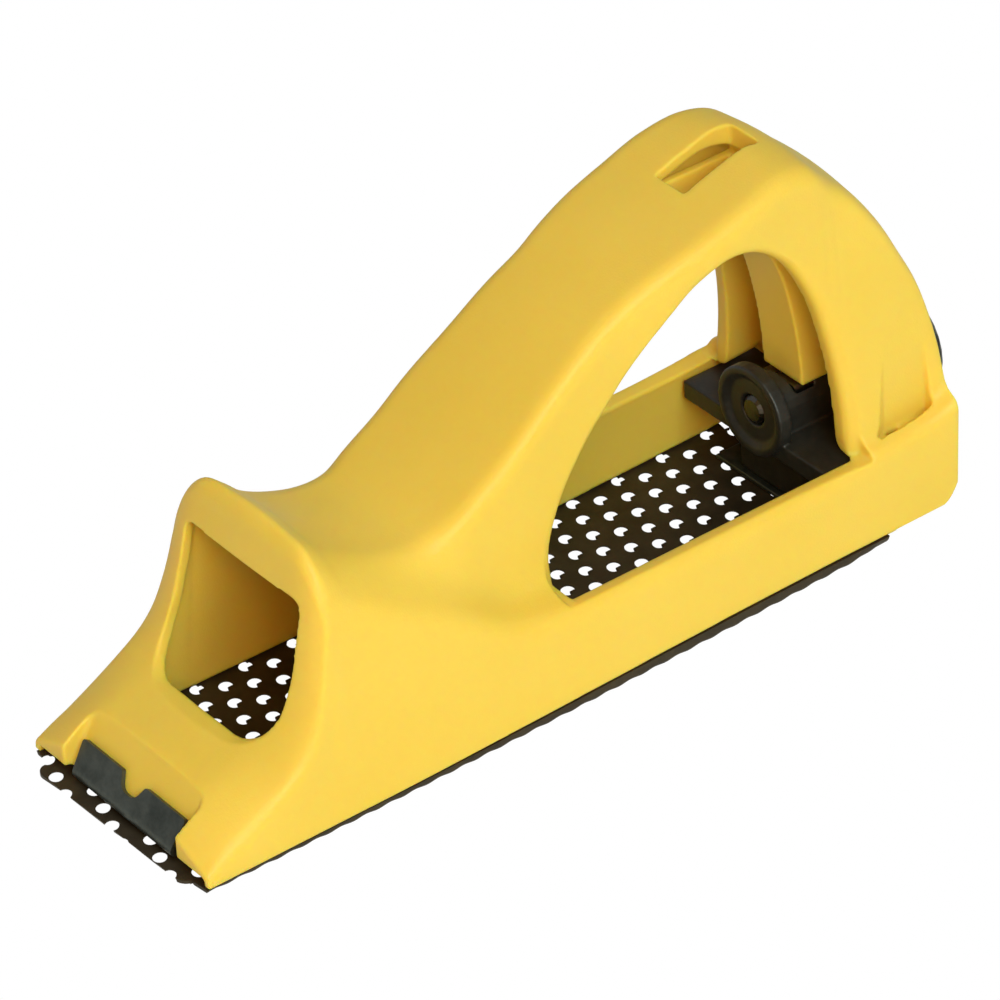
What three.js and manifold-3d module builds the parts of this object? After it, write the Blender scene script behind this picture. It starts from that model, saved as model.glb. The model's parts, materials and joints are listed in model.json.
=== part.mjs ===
// Rasp plane: a one-piece moulded handle that holds a bowed, toothed steel strip.
// The strip hooks over the toe in front and over a slider behind, and a thumb
// screw in the heel draws the slider back to pull the strip tight.
// Millimetres. Toe towards -X, heel towards +X, +Z up, cutting teeth downwards.

import * as THREE from "three";
import { mergeVertices } from "three/addons/utils/BufferGeometryUtils.js";
import Module from "manifold-3d";

const wasm = await Module();
wasm.setup();

// Toothed strip
const stripLength = 140;
const stripSheet = 0.6;
const stripBow = 1;
const stripLowShare = -0.143;
const stripBendRadius = 0.9;
const flangeLip = 1;
const flangeSetback = 5;
const stripCornerRadius = 4;
const rowPitch = 2.236;
const rowShift = 4.014;
const holePitch = 9.495;
const firstHoleAlong = 30.62;
const firstHoleAcross = 2.02;
const holeLength = 2.7;
const holeWidth = 2.3;
const holeSides = 5;
const holeEdge = 2.6;
const holeRise = 0.4;
const toothDrop = 1.3;
const toothWidth = 1.4;
const toothRoot = 1.5;
const toothReach = 0.85;
const toothRootGap = 0.25;
const toothRoomAtEnd = 3.2;

// Moulded body
const bodyWidth = 46.8;
const heelOverhang = 12.8;
const railHeelShare = 0.975;
const railLift = 1.45;
const railRise = 1.45;
const riseStartShare = 0.252;
const riseEndShare = 0.849;
const noseLengthShare = 0.33156;
const ridgeShare = 0.574;
const ridgeHeight = 46;
const handleHeight = 72;
const railHeight = 17.3;
const toeInset = 2;
const heelLift = 1.3;
const heelRun = 18.8;
const heelRound = 2;
const rimInset = 0.5;
const skirtGap = 0.3;
const skirtWall = 0.8;
const skirtLift = 0.3;
const railTopWall = 3.45;
const shellWall = 2.7;
const topWall = 3;
const legWall = 4.2;
const rearWall = 3;
const toeBlock = 7.5;
const toeStep = 0.25;
const roofWall = 1.3;
const crownRadius = 3.4;
const footRadius = 7;
const shoulderRadius = 2.6;
const cornerShare = 0.48;

// Finger opening, nose window and hanging slot
const openingStartShare = 0.2341;
const openingLengthShare = 0.5814;
const gripThickness = 10.2;
const wellDepth = 4;
const windowTopShare = 0.59;
const windowBottomShare = 0.624;
const windowSill = 14.6;
const windowHeadShare = 0.793;
const windowRadius = 3.4;
const sillStart = 15.6;
const sillDepth = 2.6;
const sillInset = 2.4;
const slotStartShare = 0.6111;
const slotLengthShare = 0.1429;
const slotWidth = 7;
const slotCornerRadius = 0.8;

// Rib in the rear leg and relief pockets at its foot
const ribWidth = 9.8;
const ribClearance = 0.3;
const ribInset = 0.8;
const pocketLength = 10.8;
const pocketHeight = 12.4;
const pocketDepth = 3.6;
const pocketSetback = 13.6;
const pocketLift = 2.3;
const pocketMouthShare = 0.829;
const pocketCrestShare = 0.735;

// Hook plates at both ends of the strip
const hookWidth = 27;
const hookSheet = 0.8;
const hookFoot = 6.4;
const hookRise = 5.6;
const hookSlope = 57;
const hookBase = 2;
const hookInnerRadius = 0.4;
const hookOuterRadius = 1.2;
const hookNotchTop = 6;
const hookNotchBottom = 1.8;
const hookNotchDepth = 2.6;
const hookGap = 0.15;
const recessMargin = 1.3;
const recessRun = 5.6;
const recessRadius = 3.2;
const bedDepth = 0.75;

// Tension slider
const sliderSetback = 11.2;
const sliderLength = 15.2;
const sliderSideGap = 0.35;
const sliderRoofGap = 1.5;
const sliderFloorGap = 0.35;
const armThickness = 3.4;
const keelWidth = 16;
const keelSetback = 3.6;
const keelStep = 1.2;
const keelChamfer = 0.6;
const discRadius = 8;
const discThickness = 2.4;
const discDish = 0.8;
const discLead = 1;
const discRim = 2.4;
const tunnelHalf = 5.2;
const tunnelTop = 4.7;

// Thumb screw, nut and washer
const screwHeight = 19.3;
const screwRadius = 2.5;
const screwClearance = 0.3;
const studInset = 0.6;
const studChamfer = 0.6;
const nutWidth = 8;
const nutThickness = 4;
const nutSetback = 5.4;
const nutGap = 0.1;
const nutCorner = 0.8;
const runningGap = 0.08;
const washerRadius = 7;
const washerThickness = 0.8;
const faceGap = 0.05;
const knobRadius = 10.5;
const knobThickness = 7.3;
const knobDish = 1.2;
const knobFloor = 1.2;
const knobRim = 2.2;
const knobEdge = 0.9;
const knobFlutes = 14;
const fluteRadius = 1.6;
const fluteDepth = 0.7;
const bossRadius = 5.2;
const bossLength = 3.6;

// Resolution and overruns
const overrun = 2;
const filletSteps = 3;
const innerSteps = 1;
const innerStride = 2;
const stripSteps = 6;
const roundSteps = 28;
const smallRoundSteps = 18;
const fluteSteps = 8;
const stepsPerFlute = 2;
const archSteps = 24;

const halfStrip = stripLength / 2;
const halfBody = bodyWidth / 2;
const halfStripWidth = halfBody - rimInset;
const skirtOuter = halfStripWidth - stripSheet - skirtGap;
const skirtInner = skirtOuter - skirtWall;
const stripWidth = halfStripWidth * 2;
const toeX = toeInset - halfStrip;
const heelX = halfStrip + heelOverhang;
const bodyLength = heelX - toeX;
const noseLength = bodyLength * noseLengthShare;
const saddleX = toeX + noseLength;
const ridgeX = toeX + noseLength * ridgeShare;
const handleLength = heelX - saddleX;
const openingStart = saddleX + handleLength * openingStartShare;
const openingLength = handleLength * openingLengthShare;
const openingTop = handleHeight - gripThickness;
const slotStart = saddleX + handleLength * slotStartShare;
const slotLength = handleLength * slotLengthShare;
const pocketStart = heelX - pocketSetback;
const sliderFront = halfStrip - sliderSetback;
const nutStart = sliderFront + nutSetback;
const slope = THREE.MathUtils.degToRad(hookSlope);
const knobStart = heelX + faceGap + washerThickness + faceGap;
const runningBore = screwRadius / Math.cos(Math.PI / smallRoundSteps) + runningGap;

const alongX = new THREE.Matrix4().makeBasis(
  new THREE.Vector3(0, 1, 0),
  new THREE.Vector3(0, 0, 1),
  new THREE.Vector3(1, 0, 0)
);
const alongY = new THREE.Matrix4().makeBasis(
  new THREE.Vector3(1, 0, 0),
  new THREE.Vector3(0, 0, 1),
  new THREE.Vector3(0, -1, 0)
);

// Closed three.js geometry to a solid that can be joined and cut.
function solid(geometry) {
  const bare = geometry.index ? geometry.clone() : geometry;
  bare.deleteAttribute("normal");
  bare.deleteAttribute("uv");
  const welded = mergeVertices(bare);
  return new wasm.Manifold(
    new wasm.Mesh({
      numProp: 3,
      vertProperties: new Float32Array(welded.attributes.position.array),
      triVerts: new Uint32Array(welded.index.array),
    })
  );
}

// A finished solid back to three.js geometry.
function geometryOf(body) {
  const mesh = body.getMesh();
  const geometry = new THREE.BufferGeometry();
  geometry.setAttribute("position", new THREE.BufferAttribute(new Float32Array(mesh.vertProperties), 3));
  geometry.setIndex(new THREE.BufferAttribute(new Uint32Array(mesh.triVerts), 1));
  geometry.computeVertexNormals();
  return geometry;
}

function prism(shape, length, options = {}) {
  const plain = { depth: length, bevelEnabled: false, curveSegments: 6 };
  return new THREE.ExtrudeGeometry(shape, { ...plain, ...options });
}

// A profile drawn in Y and Z, pushed along X from start for length.
function prismX(shape, start, length, options) {
  return solid(prism(shape, length, options).applyMatrix4(alongX).translate(start, 0, 0));
}

// A profile drawn in X and Z, centred on the middle plane, width wide along Y.
function prismY(shape, width, options) {
  return solid(prism(shape, width, options).applyMatrix4(alongY).translate(0, width / 2, 0));
}

// A profile drawn in X and Y, raised from bottom for height.
function prismZ(shape, bottom, height, options) {
  return solid(prism(shape, height, options).translate(0, 0, bottom));
}

function outline(points) {
  return new THREE.Shape(points.map(([across, up]) => new THREE.Vector2(across, up)));
}

function roundedOutline(points, radii) {
  const corners = points.map(([across, up]) => new THREE.Vector2(across, up));
  const shape = new THREE.Shape();
  corners.forEach((corner, index) => {
    const before = corners[(index + corners.length - 1) % corners.length];
    const after = corners[(index + 1) % corners.length];
    const radius = radii[index];
    const reachBack = Math.min(radius, corner.distanceTo(before) / 2);
    const reachOn = Math.min(radius, corner.distanceTo(after) / 2);
    const enter = corner.clone().lerp(before, reachBack / corner.distanceTo(before));
    const leave = corner.clone().lerp(after, reachOn / corner.distanceTo(after));
    if (index === 0) {
      shape.moveTo(enter.x, enter.y);
    } else {
      shape.lineTo(enter.x, enter.y);
    }
    if (radius > 0) {
      shape.quadraticCurveTo(corner.x, corner.y, leave.x, leave.y);
    }
  });
  shape.closePath();
  return shape;
}

function evenRadii(points, radius) {
  return points.map(() => radius);
}

function boxOutline(low, high, bottom, top) {
  return [
    [low, bottom],
    [high, bottom],
    [high, top],
    [low, top],
  ];
}

// A solid of revolution about X: profile points are (distance along X, radius).
function turnedX(points, steps, up) {
  const profile = points.map(([along, radius]) => new THREE.Vector2(radius, along));
  const lathe = new THREE.LatheGeometry(profile, steps);
  return solid(lathe.rotateZ(-Math.PI / 2).translate(0, 0, up));
}

function rod(radius, start, length, steps, up) {
  const end = start + length;
  return turnedX([[start, 0], [start, radius], [end, radius], [end, 0]], steps, up);
}

// Skin through matching rings of (Y, Z) points, each at its own X, closed at both ends.
function loft(stations) {
  const count = stations[0].ring.length;
  const vertices = stations.flatMap(({ x, ring }) => ring.flatMap((point) => [x, point.x, point.y]));
  const faces = [];
  for (let row = 0; row < stations.length - 1; row += 1) {
    for (let column = 0; column < count; column += 1) {
      const here = row * count + column;
      const next = row * count + ((column + 1) % count);
      faces.push(here, next, next + count);
      faces.push(here, next + count, here + count);
    }
  }
  const lastRow = (stations.length - 1) * count;
  for (const [a, b, c] of THREE.ShapeUtils.triangulateShape(stations[0].ring, [])) {
    faces.push(a, c, b);
  }
  for (const [a, b, c] of THREE.ShapeUtils.triangulateShape(stations.at(-1).ring, [])) {
    faces.push(lastRow + a, lastRow + b, lastRow + c);
  }
  const geometry = new THREE.BufferGeometry();
  geometry.setAttribute("position", new THREE.Float32BufferAttribute(vertices, 3));
  geometry.setIndex(faces);
  return solid(geometry);
}

// Body sections. Each row gives, as shares, one section of the outside:
// [along, top, crown half-width, crown height, foot half-width, foot height,
//  shoulder half-width, shoulder height]. Half-widths are shares of the body's
// half-width, heights are shares of the ridge height in the nose rows and of the
// handle height in the handle rows, except the last column of the handle rows.
// That one is a share of the way from the rail's top up to the ridge.
const noseShares = [
  [0, 0.157, 0.598, 0.141, 0.8, 0.1, 0.979, 0.059],
  [0.07, 0.209, 0.598, 0.193, 0.8, 0.148, 0.979, 0.098],
  [0.14, 0.248, 0.598, 0.235, 0.8, 0.189, 0.97, 0.131],
  [0.24, 0.291, 0.598, 0.28, 0.8, 0.243, 0.957, 0.192],
  [0.33, 0.335, 0.598, 0.324, 0.795, 0.296, 0.94, 0.252],
  [0.4, 0.417, 0.598, 0.404, 0.77, 0.37, 0.915, 0.308],
  [0.448, 0.53, 0.598, 0.513, 0.752, 0.461, 0.893, 0.374],
  [0.484, 0.674, 0.594, 0.652, 0.727, 0.587, 0.872, 0.468],
  [0.51, 0.804, 0.581, 0.778, 0.7, 0.704, 0.846, 0.565],
  [0.532, 0.913, 0.564, 0.883, 0.68, 0.809, 0.825, 0.674],
  [0.55, 0.978, 0.547, 0.949, 0.667, 0.87, 0.808, 0.748],
  [0.574, 1.004, 0.521, 0.98, 0.654, 0.9, 0.795, 0.791],
  [0.61, 0.978, 0.496, 0.952, 0.65, 0.891, 0.803, 0.787],
  [0.67, 0.917, 0.487, 0.896, 0.658, 0.852, 0.82, 0.761],
  [0.76, 0.857, 0.487, 0.843, 0.675, 0.809, 0.846, 0.713],
  [0.88, 0.809, 0.513, 0.8, 0.7, 0.757, 0.872, 0.639],
];
const handleShares = [
  [0, 0.503, 0.556, 0.492, 0.709, 0.425, 0.889, 0.299],
  [0.06, 0.522, 0.607, 0.508, 0.658, 0.367, 0.906, 0.163],
  [0.12, 0.572, 0.606, 0.564, 0.632, 0.311, 0.923, 0.054],
  [0.18, 0.631, 0.597, 0.622, 0.624, 0.278, 0.932, 0.01],
  [0.26, 0.714, 0.57, 0.704, 0.615, 0.264, 0.936, 0],
  [0.34, 0.797, 0.563, 0.787, 0.615, 0.264, 0.936, 0],
  [0.4, 0.864, 0.571, 0.854, 0.615, 0.264, 0.936, 0],
  [0.44, 0.897, 0.595, 0.887, 0.615, 0.264, 0.936, 0],
  [0.5, 0.931, 0.63, 0.917, 0.624, 0.264, 0.936, 0],
  [0.58, 0.965, 0.644, 0.948, 0.632, 0.264, 0.936, 0],
  [0.66, 0.992, 0.636, 0.972, 0.65, 0.264, 0.936, 0],
  [0.73, 1.006, 0.59, 0.984, 0.69, 0.268, 0.936, 0.007],
  [0.78, 0.994, 0.568, 0.965, 0.735, 0.274, 0.938, 0.017],
  [0.825, 0.957, 0.564, 0.919, 0.79, 0.281, 0.942, 0.034],
  [0.873, 0.892, 0.59, 0.85, 0.808, 0.285, 0.944, 0.054],
  [0.913, 0.817, 0.615, 0.767, 0.808, 0.288, 0.949, 0.071],
  [0.946, 0.725, 0.637, 0.672, 0.808, 0.29, 0.953, 0.085],
  [0.972, 0.648, 0.654, 0.598, 0.808, 0.293, 0.953, 0.095],
  [0.99, 0.563, 0.671, 0.512, 0.803, 0.297, 0.957, 0.105],
  [1, 0.47, 0.692, 0.437, 0.799, 0.306, 0.957, 0.112],
];

const railShoulder = halfBody * handleShares[4][6];

// Lower line of the arch as shares of the opening's length and of its height.
const archShares = [
  [0.008, 0],
  [0, 0.13],
  [0.046, 0.32],
  [0.119, 0.468],
  [0.258, 0.66],
  [0.402, 0.832],
  [0.538, 0.962],
  [0.629, 1],
  [0.711, 0.99],
  [0.814, 0.904],
  [0.917, 0.699],
  [0.969, 0.466],
  [0.998, 0.196],
  [1, 0],
];

// Height of the strip's floor, which curves up to its ends.
function floorAt(x) {
  return stripBow * (x / halfStrip - stripLowShare) ** 2;
}

// Height of the rim, the body's visible lower edge: it rises towards the heel,
// lifts behind the strip and rounds up into the heel's face.
function rimHeight(x) {
  const start = toeX + bodyLength * riseStartShare;
  const end = toeX + bodyLength * riseEndShare;
  const rise = THREE.MathUtils.smoothstep(x, start, end) * railRise;
  const heel = Math.max(0, 1 - (heelX - x) / heelRun) * heelLift;
  const round = Math.max(0, 1 - (heelX - x) / heelRound) ** 2 * heelRound;
  return railLift + rise + heel + round;
}

// Lowest corner of a section. Over the strip it is the skirt's, inside the rim.
function basePoint(x) {
  const share = THREE.MathUtils.lerp(1, railHeelShare, (x - toeX) / bodyLength);
  const low = x < halfStrip ? floorAt(x) + skirtLift : rimHeight(x);
  return new THREE.Vector2(halfBody * share, low);
}

function sectionAt(row, start, length, height, low) {
  const [along, top, crownHalf, crownUp, footHalf, footUp, shoulderHalf, shoulderUp] = row;
  return {
    x: start + along * length,
    top: top * height,
    crown: new THREE.Vector2(crownHalf * halfBody, crownUp * height),
    foot: new THREE.Vector2(footHalf * halfBody, footUp * height),
    shoulder: new THREE.Vector2(shoulderHalf * halfBody, THREE.MathUtils.lerp(low, ridgeHeight, shoulderUp)),
  };
}

const sections = [
  ...noseShares.map((row) => sectionAt(row, toeX, noseLength, ridgeHeight, 0)),
  ...handleShares.map((row) => sectionAt(row, saddleX, handleLength, handleHeight, railHeight)),
];

// Rounds one corner of a section with a fixed number of points.
function corner(before, point, after, radius, steps) {
  const room = Math.min(before.distanceTo(point), after.distanceTo(point)) * cornerShare;
  const reach = Math.min(radius, room);
  const enter = point.clone().lerp(before, reach / before.distanceTo(point));
  const leave = point.clone().lerp(after, reach / after.distanceTo(point));
  return new THREE.QuadraticBezierCurve(enter, point, leave).getPoints(steps);
}

// Whole ring, counter-clockwise seen from the heel, from half of its corners.
function ringOf(base, shoulder, foot, crown, top, steps) {
  const peak = new THREE.Vector2(0, top);
  const half = [
    base,
    ...corner(base, shoulder, foot, shoulderRadius, steps),
    ...corner(shoulder, foot, crown, footRadius, steps),
    ...corner(foot, crown, peak, crownRadius, steps),
  ];
  const mirrored = half.map((point) => new THREE.Vector2(-point.x, point.y)).reverse();
  return [...half, peak, ...mirrored];
}

function bodyOutside() {
  const stations = sections.map(({ x, top, crown, foot, shoulder }) => ({
    x,
    ring: ringOf(basePoint(x), shoulder, foot, crown, top, filletSteps),
  }));
  return loft(stations);
}

// Room inside the shell, open below: the outside moved in by the walls. Its rings
// are drawn back from the steep nose face, and forward from the heel, by a wall.
function bodyInside() {
  const first = toeX + toeBlock;
  const last = heelX - rearWall;
  const stations = sections
    .map(({ x, top, crown, foot, shoulder }) => {
      const lower = new THREE.Vector2(skirtInner, -overrun);
      const rise = Math.min(1, (shoulder.y - roofWall) / railHeight);
      const sideWall = THREE.MathUtils.lerp(halfBody - skirtInner, railTopWall, rise);
      const side = new THREE.Vector2(shoulder.x - sideWall, shoulder.y - roofWall);
      const inset = new THREE.Vector2(foot.x - legWall, foot.y - shellWall);
      const upper = new THREE.Vector2(crown.x - shellWall, crown.y - shellWall);
      const back = shellWall * (1 - THREE.MathUtils.smoothstep(x, ridgeX, saddleX));
      const forward = rearWall * THREE.MathUtils.smoothstep(x, saddleX, heelX);
      return { x: x + back - forward, ring: ringOf(lower, side, inset, upper, top - topWall, innerSteps) };
    })
    .filter(({ x }, index) => x > first && x <= last && index % innerStride === 0);
  stations.unshift({ x: first, ring: stations[0].ring });
  return loft(stations);
}

// The arch over the fingers, from the column's foot round to the rear leg.
function archCurve(shift) {
  const places = archShares.map(
    ([along, up]) =>
      new THREE.Vector2(
        openingStart + shift + along * openingLength,
        railHeight + up * (openingTop - railHeight)
      )
  );
  return new THREE.SplineCurve(places);
}

function fingerOpening() {
  const through = prismY(new THREE.Shape(archCurve(0).getPoints(archSteps)), bodyWidth + overrun);
  const halfGap = railShoulder - railTopWall;
  const well = prismX(
    outline(boxOutline(-halfGap, halfGap, railHeight - wellDepth, railHeight + overrun)),
    openingStart,
    openingLength
  );
  return through.add(well);
}

// Window in the nose, relieved behind its sill so that the sill stays thin.
function noseWindow() {
  const halfTop = halfBody * windowTopShare;
  const halfBottom = halfBody * windowBottomShare;
  const head = ridgeHeight * windowHeadShare;
  const corners = [
    [-halfBottom, windowSill],
    [halfBottom, windowSill],
    [halfTop, head],
    [-halfTop, head],
  ];
  const mouth = prismX(roundedOutline(corners, evenRadii(corners, windowRadius)), toeX, ridgeX - toeX);
  const half = halfBottom - sillInset;
  const relief = boxOutline(-half, half, windowSill - sillDepth, windowSill + windowRadius);
  return mouth.add(prismX(outline(relief), toeX + sillStart, ridgeX - toeX - sillStart));
}

function hangingSlot() {
  const corners = boxOutline(slotStart, slotStart + slotLength, -slotWidth / 2, slotWidth / 2);
  const shape = roundedOutline(corners, evenRadii(corners, slotCornerRadius));
  return prismZ(shape, openingTop, handleHeight - openingTop + overrun);
}

// Bed on the toe for the front hook, a sloped flat with rounded upper corners,
// and the step that lets the strip and the hook's foot pass below the toe.
function toeRecess() {
  const half = hookWidth / 2 + recessMargin;
  const corners = boxOutline(-half, half, -recessRun, recessRun + hookRise);
  const radii = [0, 0, recessRadius, recessRadius];
  const bed = prism(roundedOutline(corners, radii), recessRun + toeBlock);
  bed.applyMatrix4(new THREE.Matrix4().makeBasis(
    new THREE.Vector3(0, -1, 0),
    new THREE.Vector3(Math.cos(slope), 0, Math.sin(slope)),
    new THREE.Vector3(-Math.sin(slope), 0, Math.cos(slope))
  ));
  bed.translate(toeX + bedDepth * Math.sin(slope), 0, hookBase - bedDepth * Math.cos(slope));
  const passage = prismX(
    outline(boxOutline(-skirtOuter, skirtOuter, -overrun, hookBase + toeStep)),
    toeX - overrun,
    toeBlock + overrun
  );
  return solid(bed).add(passage);
}

// Rebate outside the skirt that takes the strip's flanges and leaves the rim.
function rimRebate() {
  const line = sections
    .filter((section, index) => index % innerStride === 1)
    .map(({ x }) => [x, rimHeight(x)])
    .reverse();
  const start = toeX - overrun;
  const end = heelX + overrun;
  const below = [[start, -overrun], [end, -overrun], [end, rimHeight(heelX)]];
  const under = [...below, ...line, [start, rimHeight(toeX)]];
  const skirt = boxOutline(-skirtOuter, skirtOuter, -overrun * 2, railHeight);
  const kept = prismX(outline(skirt), start - overrun, halfStrip + skirtGap - start + overrun);
  return prismY(outline(under), bodyWidth + overrun * 2).subtract(kept);
}

// Rib down the middle of the rear leg, from the arch's edge to the heel.
function rearRib() {
  const bottom = screwHeight + tunnelTop + ribClearance;
  const front = archCurve(ribInset)
    .getPoints(archSteps)
    .filter(({ x, y }) => x > slotStart + slotLength && y > bottom);
  const last = front.at(-1);
  const shape = new THREE.Shape([
    ...front,
    new THREE.Vector2(last.x, bottom),
    new THREE.Vector2(heelX, bottom),
    new THREE.Vector2(heelX, handleHeight),
    new THREE.Vector2(front[0].x, handleHeight),
  ]);
  return prismY(shape, ribWidth);
}

function sidePocket(side) {
  const top = railHeight + pocketLift + pocketHeight;
  const sill = railHeight + pocketLift;
  const mouth = side * halfBody * pocketMouthShare;
  const corners = [
    [mouth, sill],
    [mouth - side * pocketDepth, sill],
    [side * halfBody * pocketCrestShare, top],
    [mouth, top],
  ];
  return prismX(outline(side > 0 ? corners.reverse() : corners), pocketStart, pocketLength);
}

function bodyShell() {
  const outside = bodyOutside();
  const bossReach = bossLength + rearWall;
  const boss = rod(bossRadius, heelX - bossReach, bossReach, smallRoundSteps, screwHeight);
  const screwHole = rod(
    screwRadius + screwClearance,
    heelX - bossReach - overrun,
    bossReach + overrun * 2,
    smallRoundSteps,
    screwHeight
  );
  return outside
    .subtract(bodyInside())
    .subtract(fingerOpening())
    .add(rearRib().add(boss).intersect(outside))
    .subtract(noseWindow())
    .subtract(hangingSlot())
    .subtract(toeRecess())
    .subtract(rimRebate())
    .subtract(sidePocket(1))
    .subtract(sidePocket(-1))
    .subtract(screwHole);
}

// Channel section of the strip: flat floor, small bends, and upright flanges that
// end a gap below the rim.
function stripBlank() {
  const inside = halfStripWidth - stripSheet;
  const corners = [
    [-halfStripWidth, -stripSheet],
    [halfStripWidth, -stripSheet],
    [halfStripWidth, flangeLip],
    [inside, flangeLip],
    [inside, 0],
    [-inside, 0],
    [-inside, flangeLip],
    [-halfStripWidth, flangeLip],
  ];
  const inner = stripBendRadius - stripSheet;
  const radii = [stripBendRadius, stripBendRadius, 0, 0, inner, inner, 0, 0];
  const blank = prism(roundedOutline(corners, radii), stripLength, { steps: stripSteps, curveSegments: 3 });
  blank.applyMatrix4(alongX).translate(-halfStrip, 0, 0);
  const places = blank.attributes.position;
  for (let index = 0; index < places.count; index += 1) {
    const x = places.getX(index);
    const z = places.getZ(index);
    places.setZ(index, z > flangeLip / 2 ? rimHeight(x) - skirtGap : z + floorAt(x));
  }
  return solid(blank);
}

// One tooth: a pointed tongue bent down and forwards from behind its hole.
function tooth() {
  const root = (holeLength / 2) * Math.cos(Math.PI / holeSides) + toothRootGap;
  const embed = -stripSheet / 2;
  const geometry = new THREE.BufferGeometry();
  const places = [
    root, -toothWidth / 2, embed,
    root, toothWidth / 2, embed,
    root + toothRoot, 0, embed,
    root - toothReach, 0, -stripSheet - toothDrop,
  ];
  geometry.setAttribute("position", new THREE.Float32BufferAttribute(places, 3));
  geometry.setIndex([0, 2, 1, 0, 1, 3, 1, 2, 3, 2, 0, 3]);
  return solid(geometry);
}

function holeCutter() {
  const corners = [];
  for (let side = 0; side < holeSides; side += 1) {
    const angle = ((side * 2 + 1) * Math.PI) / holeSides;
    corners.push([(Math.cos(angle) * holeLength) / 2, (Math.sin(angle) * holeWidth) / 2]);
  }
  return prismZ(outline(corners), -stripSheet - overrun, stripSheet + overrun + holeRise);
}

// Rows of holes and teeth over the strip, each row set along from the last.
function stripPlaces() {
  const places = [];
  const rows = Math.ceil(stripWidth / rowPitch);
  const columns = Math.ceil(stripLength / holePitch);
  for (let row = -rows; row <= rows; row += 1) {
    const y = firstHoleAcross - row * rowPitch;
    for (let column = -columns * 2; column <= columns * 2; column += 1) {
      const x = firstHoleAlong + row * rowShift + column * holePitch;
      if (Math.abs(x) < halfStrip + holeLength && Math.abs(y) < halfStripWidth - holeEdge) {
        places.push({ x, y });
      }
    }
  }
  return places;
}

function toothedStrip() {
  const cutter = holeCutter();
  const oneTooth = tooth();
  const holes = [];
  const teeth = [];
  for (const { x, y } of stripPlaces()) {
    holes.push(cutter.translate([x, y, floorAt(x)]));
    if (Math.abs(x) < halfStrip - toothRoomAtEnd) {
      teeth.push(oneTooth.translate([x, y, floorAt(x)]));
    }
  }
  const plan = boxOutline(-halfStrip, halfStrip, -halfStripWidth, halfStripWidth);
  const trimmed = prismZ(
    roundedOutline(plan, evenRadii(plan, stripCornerRadius)),
    -stripSheet - overrun,
    railHeight
  );
  const reach = halfStripWidth + overrun;
  const flangeEnds = [-1, 1].map((end) =>
    prismX(
      outline(boxOutline(-reach, reach, floorAt(end * halfStrip), railHeight)),
      end > 0 ? halfStrip - flangeSetback : -halfStrip - overrun,
      flangeSetback + overrun
    )
  );
  return stripBlank()
    .intersect(trimmed)
    .subtract(wasm.Manifold.union(flangeEnds))
    .subtract(wasm.Manifold.union(holes))
    .add(wasm.Manifold.union(teeth));
}

// Hook at one end of the strip: a foot on the strip's floor, folded up over the
// toe (or the slider) and laid back on its slope, with a notch in its upper edge.
function hookPlate(end) {
  const low = floorAt(end * halfStrip) + hookGap / 2;
  const high = low + hookSheet;
  const bearing = (offset, up) => {
    const along = (up - hookBase - offset * Math.cos(slope)) / Math.sin(slope);
    return [toeX + along * Math.cos(slope) - offset * Math.sin(slope), up];
  };
  const face = bedDepth - hookGap;
  const outer = hookSheet - face;
  const tip = (offset) => [
    toeX + hookRise * Math.cos(slope) - offset * Math.sin(slope),
    hookBase + hookRise * Math.sin(slope) + offset * Math.cos(slope),
  ];
  const footEnd = toeX + hookFoot;
  const corners = [
    [footEnd, low],
    [footEnd, high],
    bearing(-face, high),
    tip(-face),
    tip(outer),
    bearing(outer, low),
  ].map(([x, z]) => [-end * x, z]);
  const radii = [0, 0, hookInnerRadius, 0, 0, hookOuterRadius];
  const ordered = end < 0 ? corners : [...corners].reverse();
  const orderedRadii = end < 0 ? radii : [...radii].reverse();
  const plate = prismY(roundedOutline(ordered, orderedRadii), hookWidth, { curveSegments: 5 });
  const tipUp = hookBase + hookRise * Math.sin(slope);
  const notchCorners = [
    [-hookNotchBottom / 2, tipUp - hookNotchDepth],
    [hookNotchBottom / 2, tipUp - hookNotchDepth],
    [hookNotchTop / 2, tipUp + overrun],
    [-hookNotchTop / 2, tipUp + overrun],
  ];
  const notch = prismX(
    roundedOutline(notchCorners, [hookNotchBottom / 2, hookNotchBottom / 2, 0, 0]),
    -halfStrip - overrun,
    stripLength + overrun * 2
  );
  return plate.subtract(notch);
}

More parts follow.
